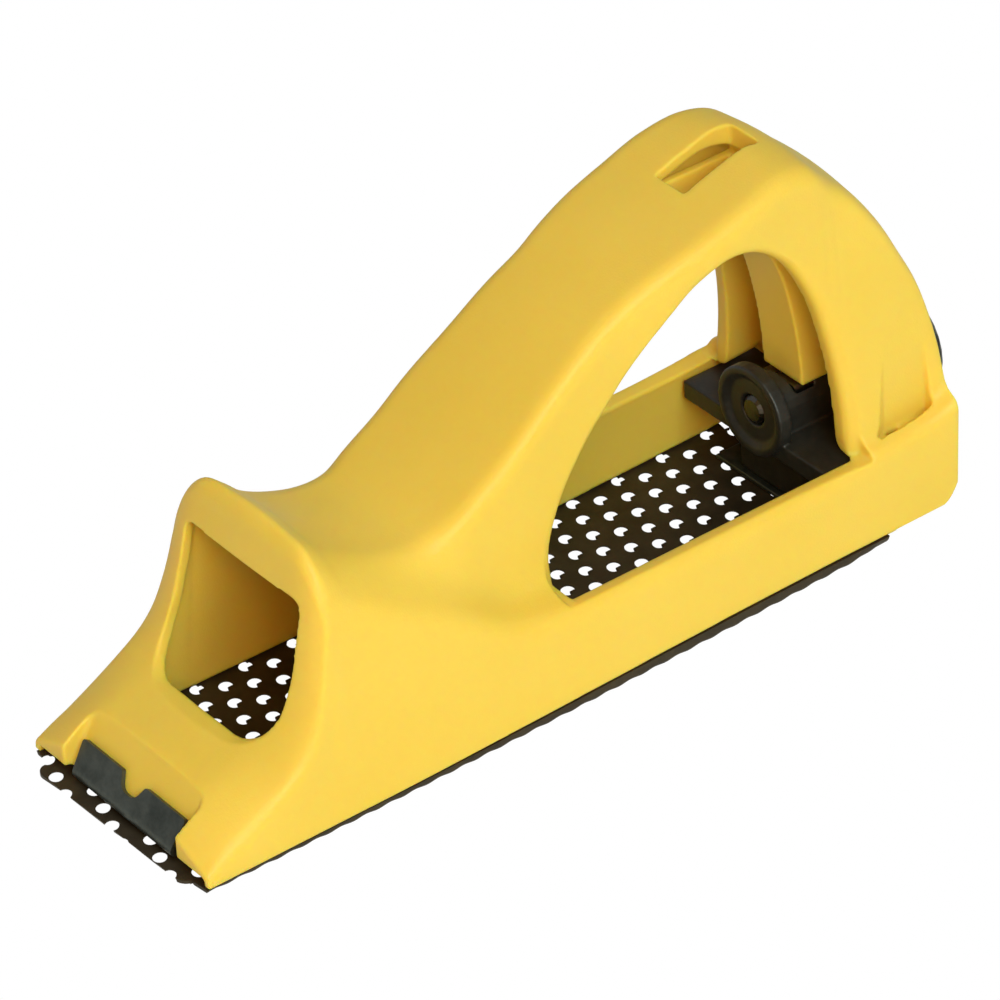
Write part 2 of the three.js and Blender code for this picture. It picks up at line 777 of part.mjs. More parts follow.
function tensionSlider() {
  const top = railHeight - sliderRoofGap;
  const bottom = floorAt(halfStrip) + hookGap + hookSheet + sliderFloorGap;
  const halfPlate = railShoulder - railTopWall - sliderSideGap;
  const plate = prismX(
    outline(boxOutline(-halfPlate, halfPlate, top - armThickness, top)),
    sliderFront,
    sliderLength
  );
  const tunnelCorners = boxOutline(-tunnelHalf, tunnelHalf, top - armThickness, screwHeight + tunnelTop);
  const tunnel = prismX(
    roundedOutline(tunnelCorners, [0, 0, tunnelHalf, tunnelHalf]),
    sliderFront,
    sliderLength
  );
  const discBack = sliderFront - discLead + discThickness;
  const disc = turnedX(
    [
      [sliderFront - discLead + discDish, 0],
      [sliderFront - discLead + discDish, discRadius - discRim],
      [sliderFront - discLead, discRadius - discRim / 2],
      [sliderFront - discLead, discRadius],
      [discBack, discRadius],
      [discBack, 0],
    ],
    roundSteps,
    screwHeight
  );
  const heelFace = (up, offset) => -toeX - (up - hookBase) / Math.tan(slope) - offset / Math.sin(slope);
  const ledge = hookBase + hookRise * Math.sin(slope) + keelStep;
  const keelFront = sliderFront + keelSetback;
  const keelShape = outline([
    [keelFront, bottom],
    [heelFace(bottom, bedDepth) - keelChamfer, bottom],
    [heelFace(bottom + keelChamfer, bedDepth), bottom + keelChamfer],
    [heelFace(ledge, bedDepth), ledge],
    [heelFace(hookBase, 0), top - armThickness / 2],
    [keelFront, top - armThickness / 2],
  ]);
  const keel = prismY(keelShape, keelWidth);
  const bore = rod(
    screwRadius + screwClearance,
    sliderFront - discLead - overrun,
    sliderLength + discLead + overrun * 2,
    smallRoundSteps,
    screwHeight
  );
  const slotHalf = nutWidth / 2 + nutGap;
  const nutSlot = prismX(
    outline(boxOutline(-slotHalf, slotHalf, screwHeight - slotHalf, screwHeight + tunnelTop + overrun)),
    nutStart - nutGap,
    nutThickness + nutGap * 2
  );
  return plate.add(tunnel).add(disc).add(keel).subtract(bore).subtract(nutSlot);
}

function captiveNut() {
  const half = nutWidth / 2;
  const corners = boxOutline(-half, half, screwHeight - half, screwHeight + half);
  const block = prismX(roundedOutline(corners, evenRadii(corners, nutCorner)), nutStart, nutThickness);
  const reach = nutThickness + overrun * 2;
  const bore = rod(runningBore, nutStart - overrun, reach, smallRoundSteps, screwHeight);
  return block.subtract(bore);
}

function screwStud() {
  const tip = sliderFront - discLead + studInset;
  const end = knobStart + knobThickness - knobDish - knobFloor;
  return turnedX(
    [
      [tip, 0],
      [tip, screwRadius - studChamfer],
      [tip + studChamfer, screwRadius],
      [end, screwRadius],
      [end, 0],
    ],
    smallRoundSteps,
    screwHeight
  );
}

function thrustWasher() {
  const disc = rod(washerRadius, heelX + faceGap, washerThickness, roundSteps, screwHeight);
  const bore = rod(
    screwRadius + screwClearance,
    heelX + faceGap - overrun,
    washerThickness + overrun * 2,
    smallRoundSteps,
    screwHeight
  );
  return disc.subtract(bore);
}

// Thumb knob: a turned disc with a dished outer face and finger flutes round its rim.
function thumbKnob() {
  const outerFace = knobStart + knobThickness;
  const body = turnedX(
    [
      [knobStart, 0],
      [knobStart, knobRadius - knobEdge],
      [knobStart + knobEdge, knobRadius],
      [outerFace - knobEdge, knobRadius],
      [outerFace, knobRadius - knobEdge],
      [outerFace, knobRadius - knobRim],
      [outerFace - knobDish, knobRadius - knobRim - knobDish],
      [outerFace - knobDish, 0],
    ],
    knobFlutes * stepsPerFlute,
    screwHeight
  );
  const flutes = [];
  for (let index = 0; index < knobFlutes; index += 1) {
    const angle = (index * 2 * Math.PI) / knobFlutes;
    const reach = knobRadius + fluteRadius - fluteDepth;
    const length = knobThickness + overrun * 2;
    flutes.push(
      rod(fluteRadius, knobStart - overrun, length, fluteSteps, screwHeight).translate([
        0,
        Math.cos(angle) * reach,
        Math.sin(angle) * reach,
      ])
    );
  }
  const socket = rod(
    screwRadius + faceGap,
    knobStart - overrun,
    knobThickness - knobDish - knobFloor + faceGap + overrun,
    smallRoundSteps,
    screwHeight
  );
  return body.subtract(wasm.Manifold.union(flutes)).subtract(socket);
}

const materials = {
  plastic: new THREE.MeshStandardMaterial({ color: 0xe9bf45, roughness: 0.42, metalness: 0 }),
  blackPlastic: new THREE.MeshStandardMaterial({ color: 0x24221f, roughness: 0.5, metalness: 0 }),
  toothedSteel: new THREE.MeshStandardMaterial({ color: 0x3a2a1e, roughness: 0.45, metalness: 0.85 }),
  hookSteel: new THREE.MeshStandardMaterial({ color: 0x3f4743, roughness: 0.4, metalness: 0.85 }),
  platedSteel: new THREE.MeshStandardMaterial({ color: 0xa9abad, roughness: 0.3, metalness: 1 }),
};

// The object stands on its teeth, with its box centred over the origin.
const assembly = new THREE.Group();
const knobEnd = knobStart + knobThickness;
assembly.position.set((halfStrip - knobEnd) / 2, 0, stripSheet + toothDrop);

function place(name, body, material) {
  const mesh = new THREE.Mesh(geometryOf(body), material.clone());
  mesh.name = name;
  assembly.add(mesh);
}

place("body_shell", bodyShell(), materials.plastic);
place("toothed_strip", toothedStrip(), materials.toothedSteel);
place("toe_hook", hookPlate(-1), materials.hookSteel);
place("heel_hook", hookPlate(1), materials.hookSteel);
place("tension_slider", tensionSlider(), materials.blackPlastic);
place("captive_nut", captiveNut(), materials.platedSteel);
place("screw_stud", screwStud(), materials.platedSteel);
place("thrust_washer", thrustWasher(), materials.platedSteel);
place("thumb_knob", thumbKnob(), materials.blackPlastic);

export default assembly;
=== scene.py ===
"""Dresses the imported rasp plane: smooth moulded body, punched strip, studio light and camera."""

import json
import math

import bmesh
import bpy
import numpy as np
from mathutils import Matrix, Vector
from mathutils.geometry import delaunay_2d_cdt
from mathutils.kdtree import KDTree


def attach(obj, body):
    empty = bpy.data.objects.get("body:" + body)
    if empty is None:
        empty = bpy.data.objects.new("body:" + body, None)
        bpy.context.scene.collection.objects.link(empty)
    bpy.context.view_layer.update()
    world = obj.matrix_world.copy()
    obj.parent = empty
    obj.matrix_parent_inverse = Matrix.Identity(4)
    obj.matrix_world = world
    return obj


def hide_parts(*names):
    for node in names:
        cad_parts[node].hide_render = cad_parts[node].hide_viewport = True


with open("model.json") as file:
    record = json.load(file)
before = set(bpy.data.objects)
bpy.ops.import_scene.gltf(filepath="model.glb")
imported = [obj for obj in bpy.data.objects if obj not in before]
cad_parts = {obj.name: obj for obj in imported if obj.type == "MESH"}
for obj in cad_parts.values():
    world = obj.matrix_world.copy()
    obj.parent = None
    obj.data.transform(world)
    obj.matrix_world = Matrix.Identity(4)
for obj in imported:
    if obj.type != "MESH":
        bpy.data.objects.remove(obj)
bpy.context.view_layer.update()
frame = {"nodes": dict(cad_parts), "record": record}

MM = 0.001
# The part's own origin in the shared frame, in millimetres
ORIGIN = Vector((-10.5, 0.0, 1.9))

# Smoothing, with the cells of the remeshed pieces in metres
SMOOTH_IN = 0.5
SMOOTH_OUT = -0.53
SHARP_ANGLE = math.radians(28.0)
BODY_CELL = 0.00034
HOOK_CELL = 0.00016
SLIDER_CELL = 0.00024
KNOB_CELL = 0.0002
SMOOTH_PASSES = 6
SLIDER_PASSES = 5

# Small gaps that keep sheets and cuts sound, and how far cutters run on, in the part's own millimetres
SLIVER = 0.01
SAME_POINT = 1e-5
OVERRUN = 2.0
ABOVE_ALL = 80.0

# Toothed strip, in the part's own millimetres
HALF_STRIP = 70.0
HALF_FLAT = 22.0
SHEET = 0.6
BEND_INSIDE = 0.3
BEND_LENGTH = (BEND_INSIDE + SHEET) * math.pi / 2
LIP_LENGTH = 1.0
FLANGE_END = 68.0
HALF_END = 19.2
STRIP_REACH = 70.4
NECK_LENGTH = 0.3
NECK_DEPTH = 0.5
TOE_SKEW = 0.03
SKEW_START = 69.0
CORNER_RADIUS = 2.2
CORNER_STEPS = 8
TAPER_START = 60.0
TAPER_RISE = 1.7
BOW = 1.0
LOW_SHARE = -0.143
RIM_LOW = 0.72
RIM_RISE = 1.45
RISE_START = -30.0
RISE_END = 60.03
ROW_PITCH = 2.236
ROW_SHIFT = 4.014
HOLE_PITCH = 9.495
FIRST_HOLE = (30.62, 2.02)
HOLE_ROWS = 12
HOLE_COLUMNS = 24
HOLE_EDGE = 20.3
HOLE_LONG = 1.36
HOLE_SHORT = 1.16
HOLE_TURN = math.radians(55.0)
HOLE_STEPS = 20
HOLE_REACH = 2.2
FLARE = Vector((0.26, 0.34))
FLARE_GROWTH = 1.08
TOOTH_TURN = math.radians(-45.0)
TOOTH_ROOM = 66.8
WAVE_PITCH = 4.7475
WAVE_DEPTH = 0.25
BAND_STEP = 0.6
# Draws the bend's points in a little, so that none lies on the sheet's edge
BAND_SHARE = 0.9995
BEND_SHARES = (-0.7, 0.0, 0.17, 0.33, 0.5, 0.67, 0.83, 1.0)
# The highest score that counts as on a hole's ellipse, where 1 is exact
RIM_LIMIT = 1.05

# Levels of one tooth: height, front, middle, back, half-width
TOOTH_LEVELS = (
    (-0.22, 0.32, 0.95, 2.30, 0.66),
    (-0.60, 0.34, 0.95, 2.30, 0.64),
    (-1.10, 0.56, 1.00, 1.75, 0.45),
    (-1.60, 0.72, 1.00, 1.30, 0.25),
)
TOOTH_TIP = (0.88, -1.90)

# Moulded body, in the part's own millimetres
TOE = -68.0
RIDGE = -39.3
SADDLE = -18.0
HEEL = 82.8
OUTSIDE_STEP = 0.9
INSIDE_STEP = 1.6
HALF_BODY = 23.4
HEEL_TAPER = 0.025
HEEL_RUN = 18.8
HEEL_LIFT = 0.1
HEEL_ROUND = 3.4
FLANGE_GAP = 0.3
SKIRT_OUTER = 22.0
SKIRT_INNER = 21.2
SKIRT_RADIUS = 0.05
RAIL_HEIGHT = 17.3
RAIL_SHOULDER = 21.9
RAIL_WALL = 3.45
EDGE_DROP = 0.4
EDGE_RUN = 2.8
EDGE_OVER = 0.05
GAP_LOW = 13.5
GAP_HIGH = 19.5
ROOF_WALL = 1.3
SHELL_WALL = 2.7
TOP_WALL = 3.0
LEG_WALL = 4.2
REAR_WALL = 3.0
ROOM_LOW = -4.0
ROOM_END = 0.4
ROOM_RADIUS = 0.3
SWELL_GAP = 6.0
SWELL_RUN = 12.0
SWELL_RADIUS = 4.0
TOE_BLOCK = 7.5
TOE_GAP_TOP = 2.25
RIM_RADIUS = 0.5
SHOULDER_RADIUS = 2.6
FOOT_RADIUS = 7.0
CROWN_RADIUS = 3.4
PEAK_RADIUS = 9.0
CORNER_SHARE = 0.48
RING_STEPS = 6
OPENING_START = 5.6
OPENING_LENGTH = 58.6
OPENING_TOP = 61.8
ARCH_STEP = 1.0
ARCH_FILLET = 1.9
ARCH_DEPTHS = (0.0, 0.15, 0.4, 0.75, 1.15, 1.6, 2.2)
MOUTH_SHARE = 1.3
MOUTH_RUN = 8.0
FAR_MOVE = 1.0
NEAR_START = 0.5
NEAR_END = -0.7
WINDOW_LOW = 15.4
WINDOW_HIGH = 14.7
WINDOW_SILL = 13.9
WINDOW_HEAD = 37.4
WINDOW_RADII = (7.0, 7.0, 2.4, 2.4)
WINDOW_STEPS = 8
FACE_SHARE = 0.65
RELIEF_START = 1.3
RELIEF_RUN = 6.0
RELIEF_DROP = 6.0
RELIEF_FADE = 7.0
RELIEF_NEAR_SHARE = 0.995
RELIEF_FAR_SHARE = 0.985
NOSE_WALL = 1.3
NOSE_SIDE = 1.7
NOSE_FADE_START = 3.5
NOSE_FADE_RUN = 5.0
NOSE_FOOT_RADIUS = 4.0
NOSE_CROWN_RADIUS = 2.0
NOSE_PEAK_RADIUS = 3.5
SLOT_START = 42.9
SLOT_LENGTH = 15.1
SLOT_HALF = 3.5
SLOT_RADIUS = 0.5
SLOT_STEPS = 4
SLOT_OVERRUN = 4.0
SLOT_WALL = 1.5
SLOT_FLOOR = 62.6
SLOT_ROOF = 66.8
HOOK_HALF = 13.5
HOOK_SHEET = 0.8
HOOK_GAP = 0.15
HOOK_RISE = 6.0
HOOK_FOOT = 6.4
HOOK_ROLL = 2.4
ROLL_STEPS = 16
HOOK_RADII = (0.3, 1.3, 1.3, 0.3, 0.6, 0.6, 0.6, 0.6)
HOOK_STEPS = 5
HOOK_MARGIN = 0.4
HOOK_COLUMNS = 28
NOTCH_TOP = 3.1
NOTCH_BOTTOM = 1.7
NOTCH_DEEP = 2.8
HOOK_SLOPE = 57.0
HOOK_BASE = 2.0
BED_DEPTH = 0.75
BED_MARGIN = 1.3
BED_LOW = -5.6
BED_HIGH = 11.2
BED_REACH = 13.1
BED_RADIUS = 3.2
BED_STEPS = 6
POCKET_START = 67.6
POCKET_LENGTH = 12.3
POCKET_SLOPE = 3.6
POCKET_MOUTH = 19.8
POCKET_DEPTH = 2.1
POCKET_CREST = 17.5
POCKET_SILL = 18.4
POCKET_TOP = 32.0
SLIT_START = 71.2
SLIT_LENGTH = 2.8
SLIT_INNER = 17.8
SLIT_OUTER = 19.2
SLIT_DROP = 6.0
SLIT_OVER = 0.2
SCREW_UP = 19.3
BORE_RADIUS = 2.8
BORE_CORE = 0.001
BORE_RUN = 9.0
BORE_STEPS = 40
BOSS_RADIUS = 5.2
BOSS_START = 6.6
BOSS_END = 1.0
BOSS_STEPS = 48
RIB_HALF = 4.9
RIB_BACK = 1.5
RIB_STEP = 2.0
RIB_LOW = 23.6
RIB_START = 58.0
RIB_SETBACK = 0.8
RIB_SINK = 1.6

# Lower line of the arch as shares of the opening's length and height
ARCH_SHARES = (
    (0.008, 0.0),
    (0.0, 0.13),
    (0.046, 0.32),
    (0.119, 0.468),
    (0.258, 0.66),
    (0.402, 0.832),
    (0.538, 0.962),
    (0.629, 1.0),
    (0.711, 0.99),
    (0.814, 0.904),
    (0.917, 0.699),
    (0.969, 0.466),
    (0.998, 0.196),
    (1.0, 0.0),
)

# Sections of the outside: along, top, crown half-width and height, foot half-width
# and height, shoulder half-width and height
SECTIONS = (
    (-68.0, 7.4, 14.0, 6.6, 18.9, 4.9, 23.1, 2.9),
    (-64.5, 9.7, 14.0, 9.0, 18.9, 7.1, 23.2, 4.9),
    (-61.0, 11.5, 14.0, 10.9, 18.9, 9.1, 23.2, 6.6),
    (-56.0, 13.4, 14.0, 12.9, 18.9, 11.6, 23.1, 9.4),
    (-51.5, 15.4, 14.0, 14.9, 18.8, 14.0, 22.9, 12.3),
    (-48.0, 19.2, 14.0, 18.6, 18.4, 17.4, 22.6, 15.0),
    (-45.6, 24.4, 14.0, 23.6, 18.0, 21.8, 22.0, 18.2),
    (-43.8, 31.0, 14.0, 30.0, 17.7, 27.4, 21.3, 22.3),
    (-42.5, 37.0, 13.8, 35.8, 17.3, 32.8, 20.6, 26.8),
    (-41.4, 42.0, 13.5, 40.7, 17.0, 37.8, 20.0, 31.6),
    (-40.5, 45.0, 13.1, 43.9, 16.7, 40.7, 19.6, 35.0),
    (-39.3, 46.3, 12.5, 45.3, 16.2, 42.2, 19.1, 37.0),
    (-37.5, 45.2, 11.9, 44.1, 15.8, 41.4, 19.0, 36.6),
    (-34.5, 42.3, 11.5, 41.3, 15.5, 39.0, 19.2, 35.0),
    (-30.0, 39.2, 11.4, 38.5, 15.5, 36.4, 19.8, 32.5),
    (-24.0, 36.9, 12.0, 36.2, 15.6, 33.6, 20.4, 29.0),
    (-18.0, 36.4, 13.2, 35.6, 16.0, 30.4, 20.8, 25.9),
    (-12.0, 38.8, 14.8, 37.9, 15.8, 26.4, 21.2, 22.0),
    (-5.9, 42.4, 14.9, 41.6, 15.1, 22.4, 21.6, 18.8),
    (0.1, 46.9, 14.9, 46.0, 14.8, 20.0, 21.8, 17.6),
    (8.2, 52.7, 14.1, 51.9, 14.5, 19.0, 21.9, 17.3),
    (16.3, 58.3, 13.6, 57.5, 14.4, 19.0, 21.9, 17.3),
    (22.3, 61.3, 13.4, 60.8, 14.4, 19.0, 21.9, 17.3),
    (26.4, 63.5, 13.9, 63.0, 14.4, 19.0, 21.9, 17.3),
    (32.4, 66.0, 14.7, 65.4, 14.6, 19.0, 21.9, 17.3),
    (40.5, 68.5, 15.2, 67.9, 14.8, 19.0, 21.9, 17.3),
    (48.5, 71.3, 15.1, 70.5, 15.2, 19.0, 21.9, 17.3),
    (55.6, 73.1, 14.2, 71.6, 16.1, 19.3, 21.9, 17.5),
    (60.6, 71.9, 13.7, 70.3, 17.2, 19.7, 21.9, 17.8),
    (64.9, 68.4, 13.4, 66.1, 18.5, 20.0, 22.0, 18.1),
    (69.7, 64.0, 14.0, 61.4, 18.9, 20.1, 22.1, 18.4),
    (74.1, 58.6, 14.7, 55.2, 18.9, 20.4, 22.2, 18.8),
    (77.6, 52.2, 15.3, 48.6, 19.0, 20.9, 22.4, 19.5),
    (80.2, 46.7, 15.8, 43.2, 19.3, 21.8, 22.7, 20.5),
    (82.0, 40.5, 16.5, 37.0, 19.7, 22.8, 22.9, 21.3),
    (82.85, 33.8, 17.2, 31.8, 19.9, 23.6, 22.95, 21.9),
)

# Camera: its place in metres, its lens and sensor in millimetres
CAMERA_PLACE = (-0.4585, -0.6200, 0.5717)
CAMERA_RIGHT = (0.7878, -0.6145, -0.0413)
CAMERA_UP = (0.3821, 0.4351, 0.8153)
CAMERA_LENS = 216.2
SENSOR_WIDTH = 36.0
CLIP_START = 0.05
CLIP_END = 20.0

# Light, with places and sizes in metres
WHITE = (1.0, 1.0, 1.0, 1.0)
FLOOR_HALF = 4.0
FLOOR_COLOUR = (0.9, 0.9, 0.9, 1.0)
WORLD_LIGHT = 0.34
AIM = (0.0, 0.0, 0.03)
KEY_PLACE = (-0.25, -0.95, 0.75)
KEY_SIZE = 0.7
KEY_LIGHT = 10.9
KEY_TINT = (0.69, 0.97, 1.0)
TOP_PLACE = (0.1, 0.2, 1.2)
TOP_SIZE = 0.8
TOP_LIGHT = 0.9
TOP_TINT = (1.0, 0.92, 0.82)
FILL_SIZE = 0.3
FILL_LIGHT = 3.2
FILL_TINT = (1.0, 0.53, 0.10)


def add(name, mesh, body, slot, material, replaced):
    """Links a mesh as a piece that rides on a body, takes a slot's finish and stands for CAD nodes. The
    slot argument itself is not used.
    """
    piece = bpy.data.objects.new(name, mesh)
    bpy.context.scene.collection.objects.link(piece)
    mesh.materials.clear()
    mesh.materials.append(material)
    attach(piece, body)
    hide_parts(*replaced)


def node_object(name):
    """The object that carries a CAD node."""
    return frame["nodes"][name]


class Shader:
    """A small helper that adds nodes to a material and links them in one call."""

    def __init__(self, name):
        self.material = bpy.data.materials.new(name)
        self.material.use_nodes = True
        self.tree = self.material.node_tree
        self.bsdf = self.tree.nodes["Principled BSDF"]

    def node(self, kind, values=None, **settings):
        """A new node with its settings, and each input linked to a socket or given a plain value."""
        made = self.tree.nodes.new(kind)
        for key, value in settings.items():
            setattr(made, key, value)
        for key, value in (values or {}).items():
            if isinstance(value, bpy.types.NodeSocket):
                self.tree.links.new(value, made.inputs[key])
            else:
                made.inputs[key].default_value = value
        return made

    def place(self):
        """The object's own coordinates, in metres."""
        return self.node("ShaderNodeTexCoord").outputs["Object"]

    def noise(self, scale, detail=3.0, roughness=0.5, vector=None):
        """Noise from 0 to 1, its scale in waves a metre."""
        source = vector if vector is not None else self.place()
        values = {"Vector": source, "Scale": scale, "Detail": detail, "Roughness": roughness}
        return self.node("ShaderNodeTexNoise", values).outputs["Fac"]

    def ramp(self, value, stops):
        """A colour picked by a value between the stops' colours."""
        made = self.node("ShaderNodeValToRGB", {"Fac": value})
        ramp = made.color_ramp
        while len(ramp.elements) < len(stops):
            ramp.elements.new(0.5)
        for element, (place, colour) in zip(ramp.elements, stops):
            element.position = place
            element.color = (*colour, 1.0)
        return made.outputs["Color"]

    def mix(self, factor, first, second):
        """A colour between two. The mix node's colours are its sockets 6 and 7."""
        made = self.node("ShaderNodeMix", {0: factor}, data_type="RGBA")
        for socket, value in ((6, first), (7, second)):
            if isinstance(value, bpy.types.NodeSocket):
                self.tree.links.new(value, made.inputs[socket])
            else:
                made.inputs[socket].default_value = (*value, 1.0)
        return made.outputs[2]

    def scale(self, value, low, high):
        """A value from 0 to 1 brought to a range."""
        made = self.node("ShaderNodeMapRange", {"Value": value, "To Min": low, "To Max": high})
        return made.outputs["Result"]

    def bump(self, height, strength, distance):
        """A normal that makes a height look raised, its distance in metres."""
        values = {"Height": height, "Strength": strength, "Distance": distance}
        return self.node("ShaderNodeBump", values).outputs["Normal"]

    def surface(self, **values):
        """The material, with each named input of its surface linked or set."""
        for key, value in values.items():
            socket = self.bsdf.inputs[key.replace("_", " ")]
            if isinstance(value, bpy.types.NodeSocket):
                self.tree.links.new(value, socket)
            else:
                socket.default_value = value
        return self.material


def body_plastic():
    """Satin moulded plastic: a fine spark-eroded grain, a slow drift of colour and pale flecks."""
    s = Shader("body_plastic")
    drift = s.noise(28.0, 4.0)
    grain = s.noise(2600.0, 2.0, 0.6)
    flecks = s.noise(520.0, 3.0, 0.7)
    colour = s.ramp(drift, [(0.25, (0.77, 0.515, 0.058)), (0.75, (0.81, 0.55, 0.076))])
    flecked = s.mix(s.scale(flecks, 0.0, 0.10), colour, (0.86, 0.66, 0.19))
    rough = s.scale(flecks, 0.40, 0.55)
    return s.surface(
        Base_Color=flecked,
        Roughness=rough,
        Normal=s.bump(grain, 0.25, 0.00012),
        Specular_IOR_Level=0.28,
        Subsurface_Weight=0.7,
        Subsurface_Radius=(1.0, 0.42, 0.09),
        Subsurface_Scale=0.003,
    )


def strip_steel():
    """Hardened strip: patchy brown-black oxide with fine grinding marks along it."""
    s = Shader("strip_steel")
    patches = s.noise(160.0, 5.0, 0.65)
    colour = s.ramp(patches, [(0.3, (0.028, 0.019, 0.010)), (0.7, (0.060, 0.044, 0.024))])
    stretched = s.node("ShaderNodeMapping", {"Vector": s.place(), "Scale": (60.0, 900.0, 900.0)})
    marks = s.noise(1.0, 3.0, 0.6, stretched.outputs["Vector"])
    return s.surface(
        Base_Color=colour,
        Metallic=0.55,
        Roughness=s.scale(patches, 0.42, 0.62),
        Normal=s.bump(marks, 0.2, 0.00008),
    )


def hook_steel():
    """Hook plates: dark grey steel, lightly scuffed."""
    s = Shader("hook_steel")
    patches = s.noise(240.0, 5.0, 0.7)
    colour = s.ramp(patches, [(0.3, (0.050, 0.058, 0.053)), (0.72, (0.11, 0.122, 0.112))])
    return s.surface(
        Base_Color=colour,
        Metallic=0.8,
        Roughness=s.scale(patches, 0.30, 0.46),
        Normal=s.bump(s.noise(1500.0, 3.0), 0.25, 0.00008),
    )


def black_plastic():
    """Black moulded plastic with a fine grain and slight dust in its colour."""
    s = Shader("black_plastic")
    dust = s.noise(300.0, 5.0, 0.7)
    colour = s.ramp(dust, [(0.35, (0.010, 0.0092, 0.0075)), (0.8, (0.026, 0.024, 0.019))])
    return s.surface(
        Base_Color=colour,
        Roughness=s.scale(dust, 0.36, 0.52),
        Normal=s.bump(s.noise(2400.0, 2.0), 0.2, 0.0001),
    )


def plated_steel():
    """Plated screw, nut and washer with a fine grain; their colour is darkened as painted shade, for the
    shade they sit in behind the slider's disc.
    """
    s = Shader("plated_steel")
    haze = s.noise(400.0, 4.0, 0.6)
    # Painted shade: both steel colours are kept far darker than plating, with a random haze between them
    colour = s.ramp(haze, [(0.3, (0.10, 0.095, 0.085)), (0.7, (0.19, 0.185, 0.17))])
    return s.surface(
        Base_Color=colour,
        Metallic=1.0,
        Roughness=s.scale(haze, 0.22, 0.38),
        Normal=s.bump(s.noise(1800.0, 2.0), 0.15, 0.00005),
    )


MATERIALS = {
    "body_plastic": body_plastic(),
    "strip_steel": strip_steel(),
    "hook_steel": hook_steel(),
    "black_plastic": black_plastic(),
    "plated_steel": plated_steel(),
}


def dress_nodes():
    """Gives every carried CAD node its slot's procedural material."""
    for entry in frame["record"]["subparts"]:
        mesh = node_object(entry["node"]).data
        mesh.materials.clear()
        mesh.materials.append(MATERIALS[entry["material_slot"]])


def neighbour_mean(places, ends, links):
    """Mean place of each vertex's neighbours."""
    total = np.zeros_like(places)
    for axis in range(3):
        total[:, axis] += np.bincount(ends[:, 0], places[ends[:, 1], axis], len(places))
        total[:, axis] += np.bincount(ends[:, 1], places[ends[:, 0], axis], len(places))
    return total / links[:, None]


def relax(places, ends, passes):
    """Smooths without shrinking: each pass steps in and then a little further back out."""
    links = np.maximum(np.bincount(ends.ravel(), minlength=len(places)), 1)
    for _ in range(passes):
        for factor in (SMOOTH_IN, SMOOTH_OUT):
            places = places + (neighbour_mean(places, ends, links) - places) * factor
    return places


def softened(name, source, cell, passes):
    """A mesh remeshed in even cells and smoothed: facets melt, edges round off and it doesn't shrink."""
    copy = bpy.data.objects.new(name + "_work", source.copy())
    bpy.context.scene.collection.objects.link(copy)
    grid = copy.modifiers.new("grid", "REMESH")
    grid.mode = "VOXEL"
    grid.voxel_size = cell
    graph = bpy.context.evaluated_depsgraph_get()
    mesh = bpy.data.meshes.new_from_object(copy.evaluated_get(graph))
    bpy.data.objects.remove(copy)
    mesh.name = name
    places = np.empty(len(mesh.vertices) * 3)
    mesh.vertices.foreach_get("co", places)
    places = places.reshape(-1, 3)
    ends = np.empty(len(mesh.edges) * 2, dtype=np.int64)
    mesh.edges.foreach_get("vertices", ends)
    places = relax(places, ends.reshape(-1, 2), passes)
    mesh.vertices.foreach_set("co", places.ravel())
    mesh.polygons.foreach_set("use_smooth", [True] * len(mesh.polygons))
    mesh.update()
    return mesh


def smooth_share(share):
    """A share from 0 to 1 that starts and ends softly."""
    share = min(max(share, 0.0), 1.0)
    return share * share * (3.0 - 2.0 * share)


def floor_at(x):
    """Height of the strip's floor, which curves up to its ends."""
    return BOW * (x / HALF_STRIP - LOW_SHARE) ** 2


def lip_at(x):
    """Height of the flange's top, a gap below the body's rim."""
    return RIM_LOW + RIM_RISE * smooth_share((x - RISE_START) / (RISE_END - RISE_START))


def on_strip(x, along, depth):
    """A point of the bent sheet: along is measured round the bend, depth into the sheet from its inside."""
    over = abs(along) - HALF_FLAT
    floor = floor_at(x)
    if over <= 0.0 or abs(x) > FLANGE_END:
        return Vector((x, along, floor - depth))
    bent = min(over / BEND_LENGTH, 1.0)
    turn = bent * math.pi / 2
    radius = BEND_INSIDE + depth
    across = HALF_FLAT + radius * math.sin(turn)
    up = floor + BEND_INSIDE - radius * math.cos(turn)
    if over > BEND_LENGTH:
        share = (over - BEND_LENGTH) / LIP_LENGTH
        up += (lip_at(x) - floor - BEND_INSIDE) * share
    swell = math.sin(math.pi * bent) ** 2
    wave = 0.5 - 0.5 * math.cos(2.0 * math.pi * x / WAVE_PITCH)
    taper = TAPER_RISE * smooth_share((x - TAPER_START) / (FLANGE_END - TAPER_START)) * bent
    up = min(up - WAVE_DEPTH * wave * swell + taper, lip_at(x))
    return Vector((x, math.copysign(across, along), up))


def hole_places():
    """Centres of the holes: slanted rows, each set along from the last."""
    places = []
    for row in range(-HOLE_ROWS, HOLE_ROWS + 1):
        y = FIRST_HOLE[1] - row * ROW_PITCH
        for column in range(-HOLE_COLUMNS, HOLE_COLUMNS + 1):
            x = FIRST_HOLE[0] + row * ROW_SHIFT + column * HOLE_PITCH
            if abs(x) < HALF_STRIP + HOLE_REACH and abs(y) < HOLE_EDGE:
                places.append(Vector((x, y)))
    return places


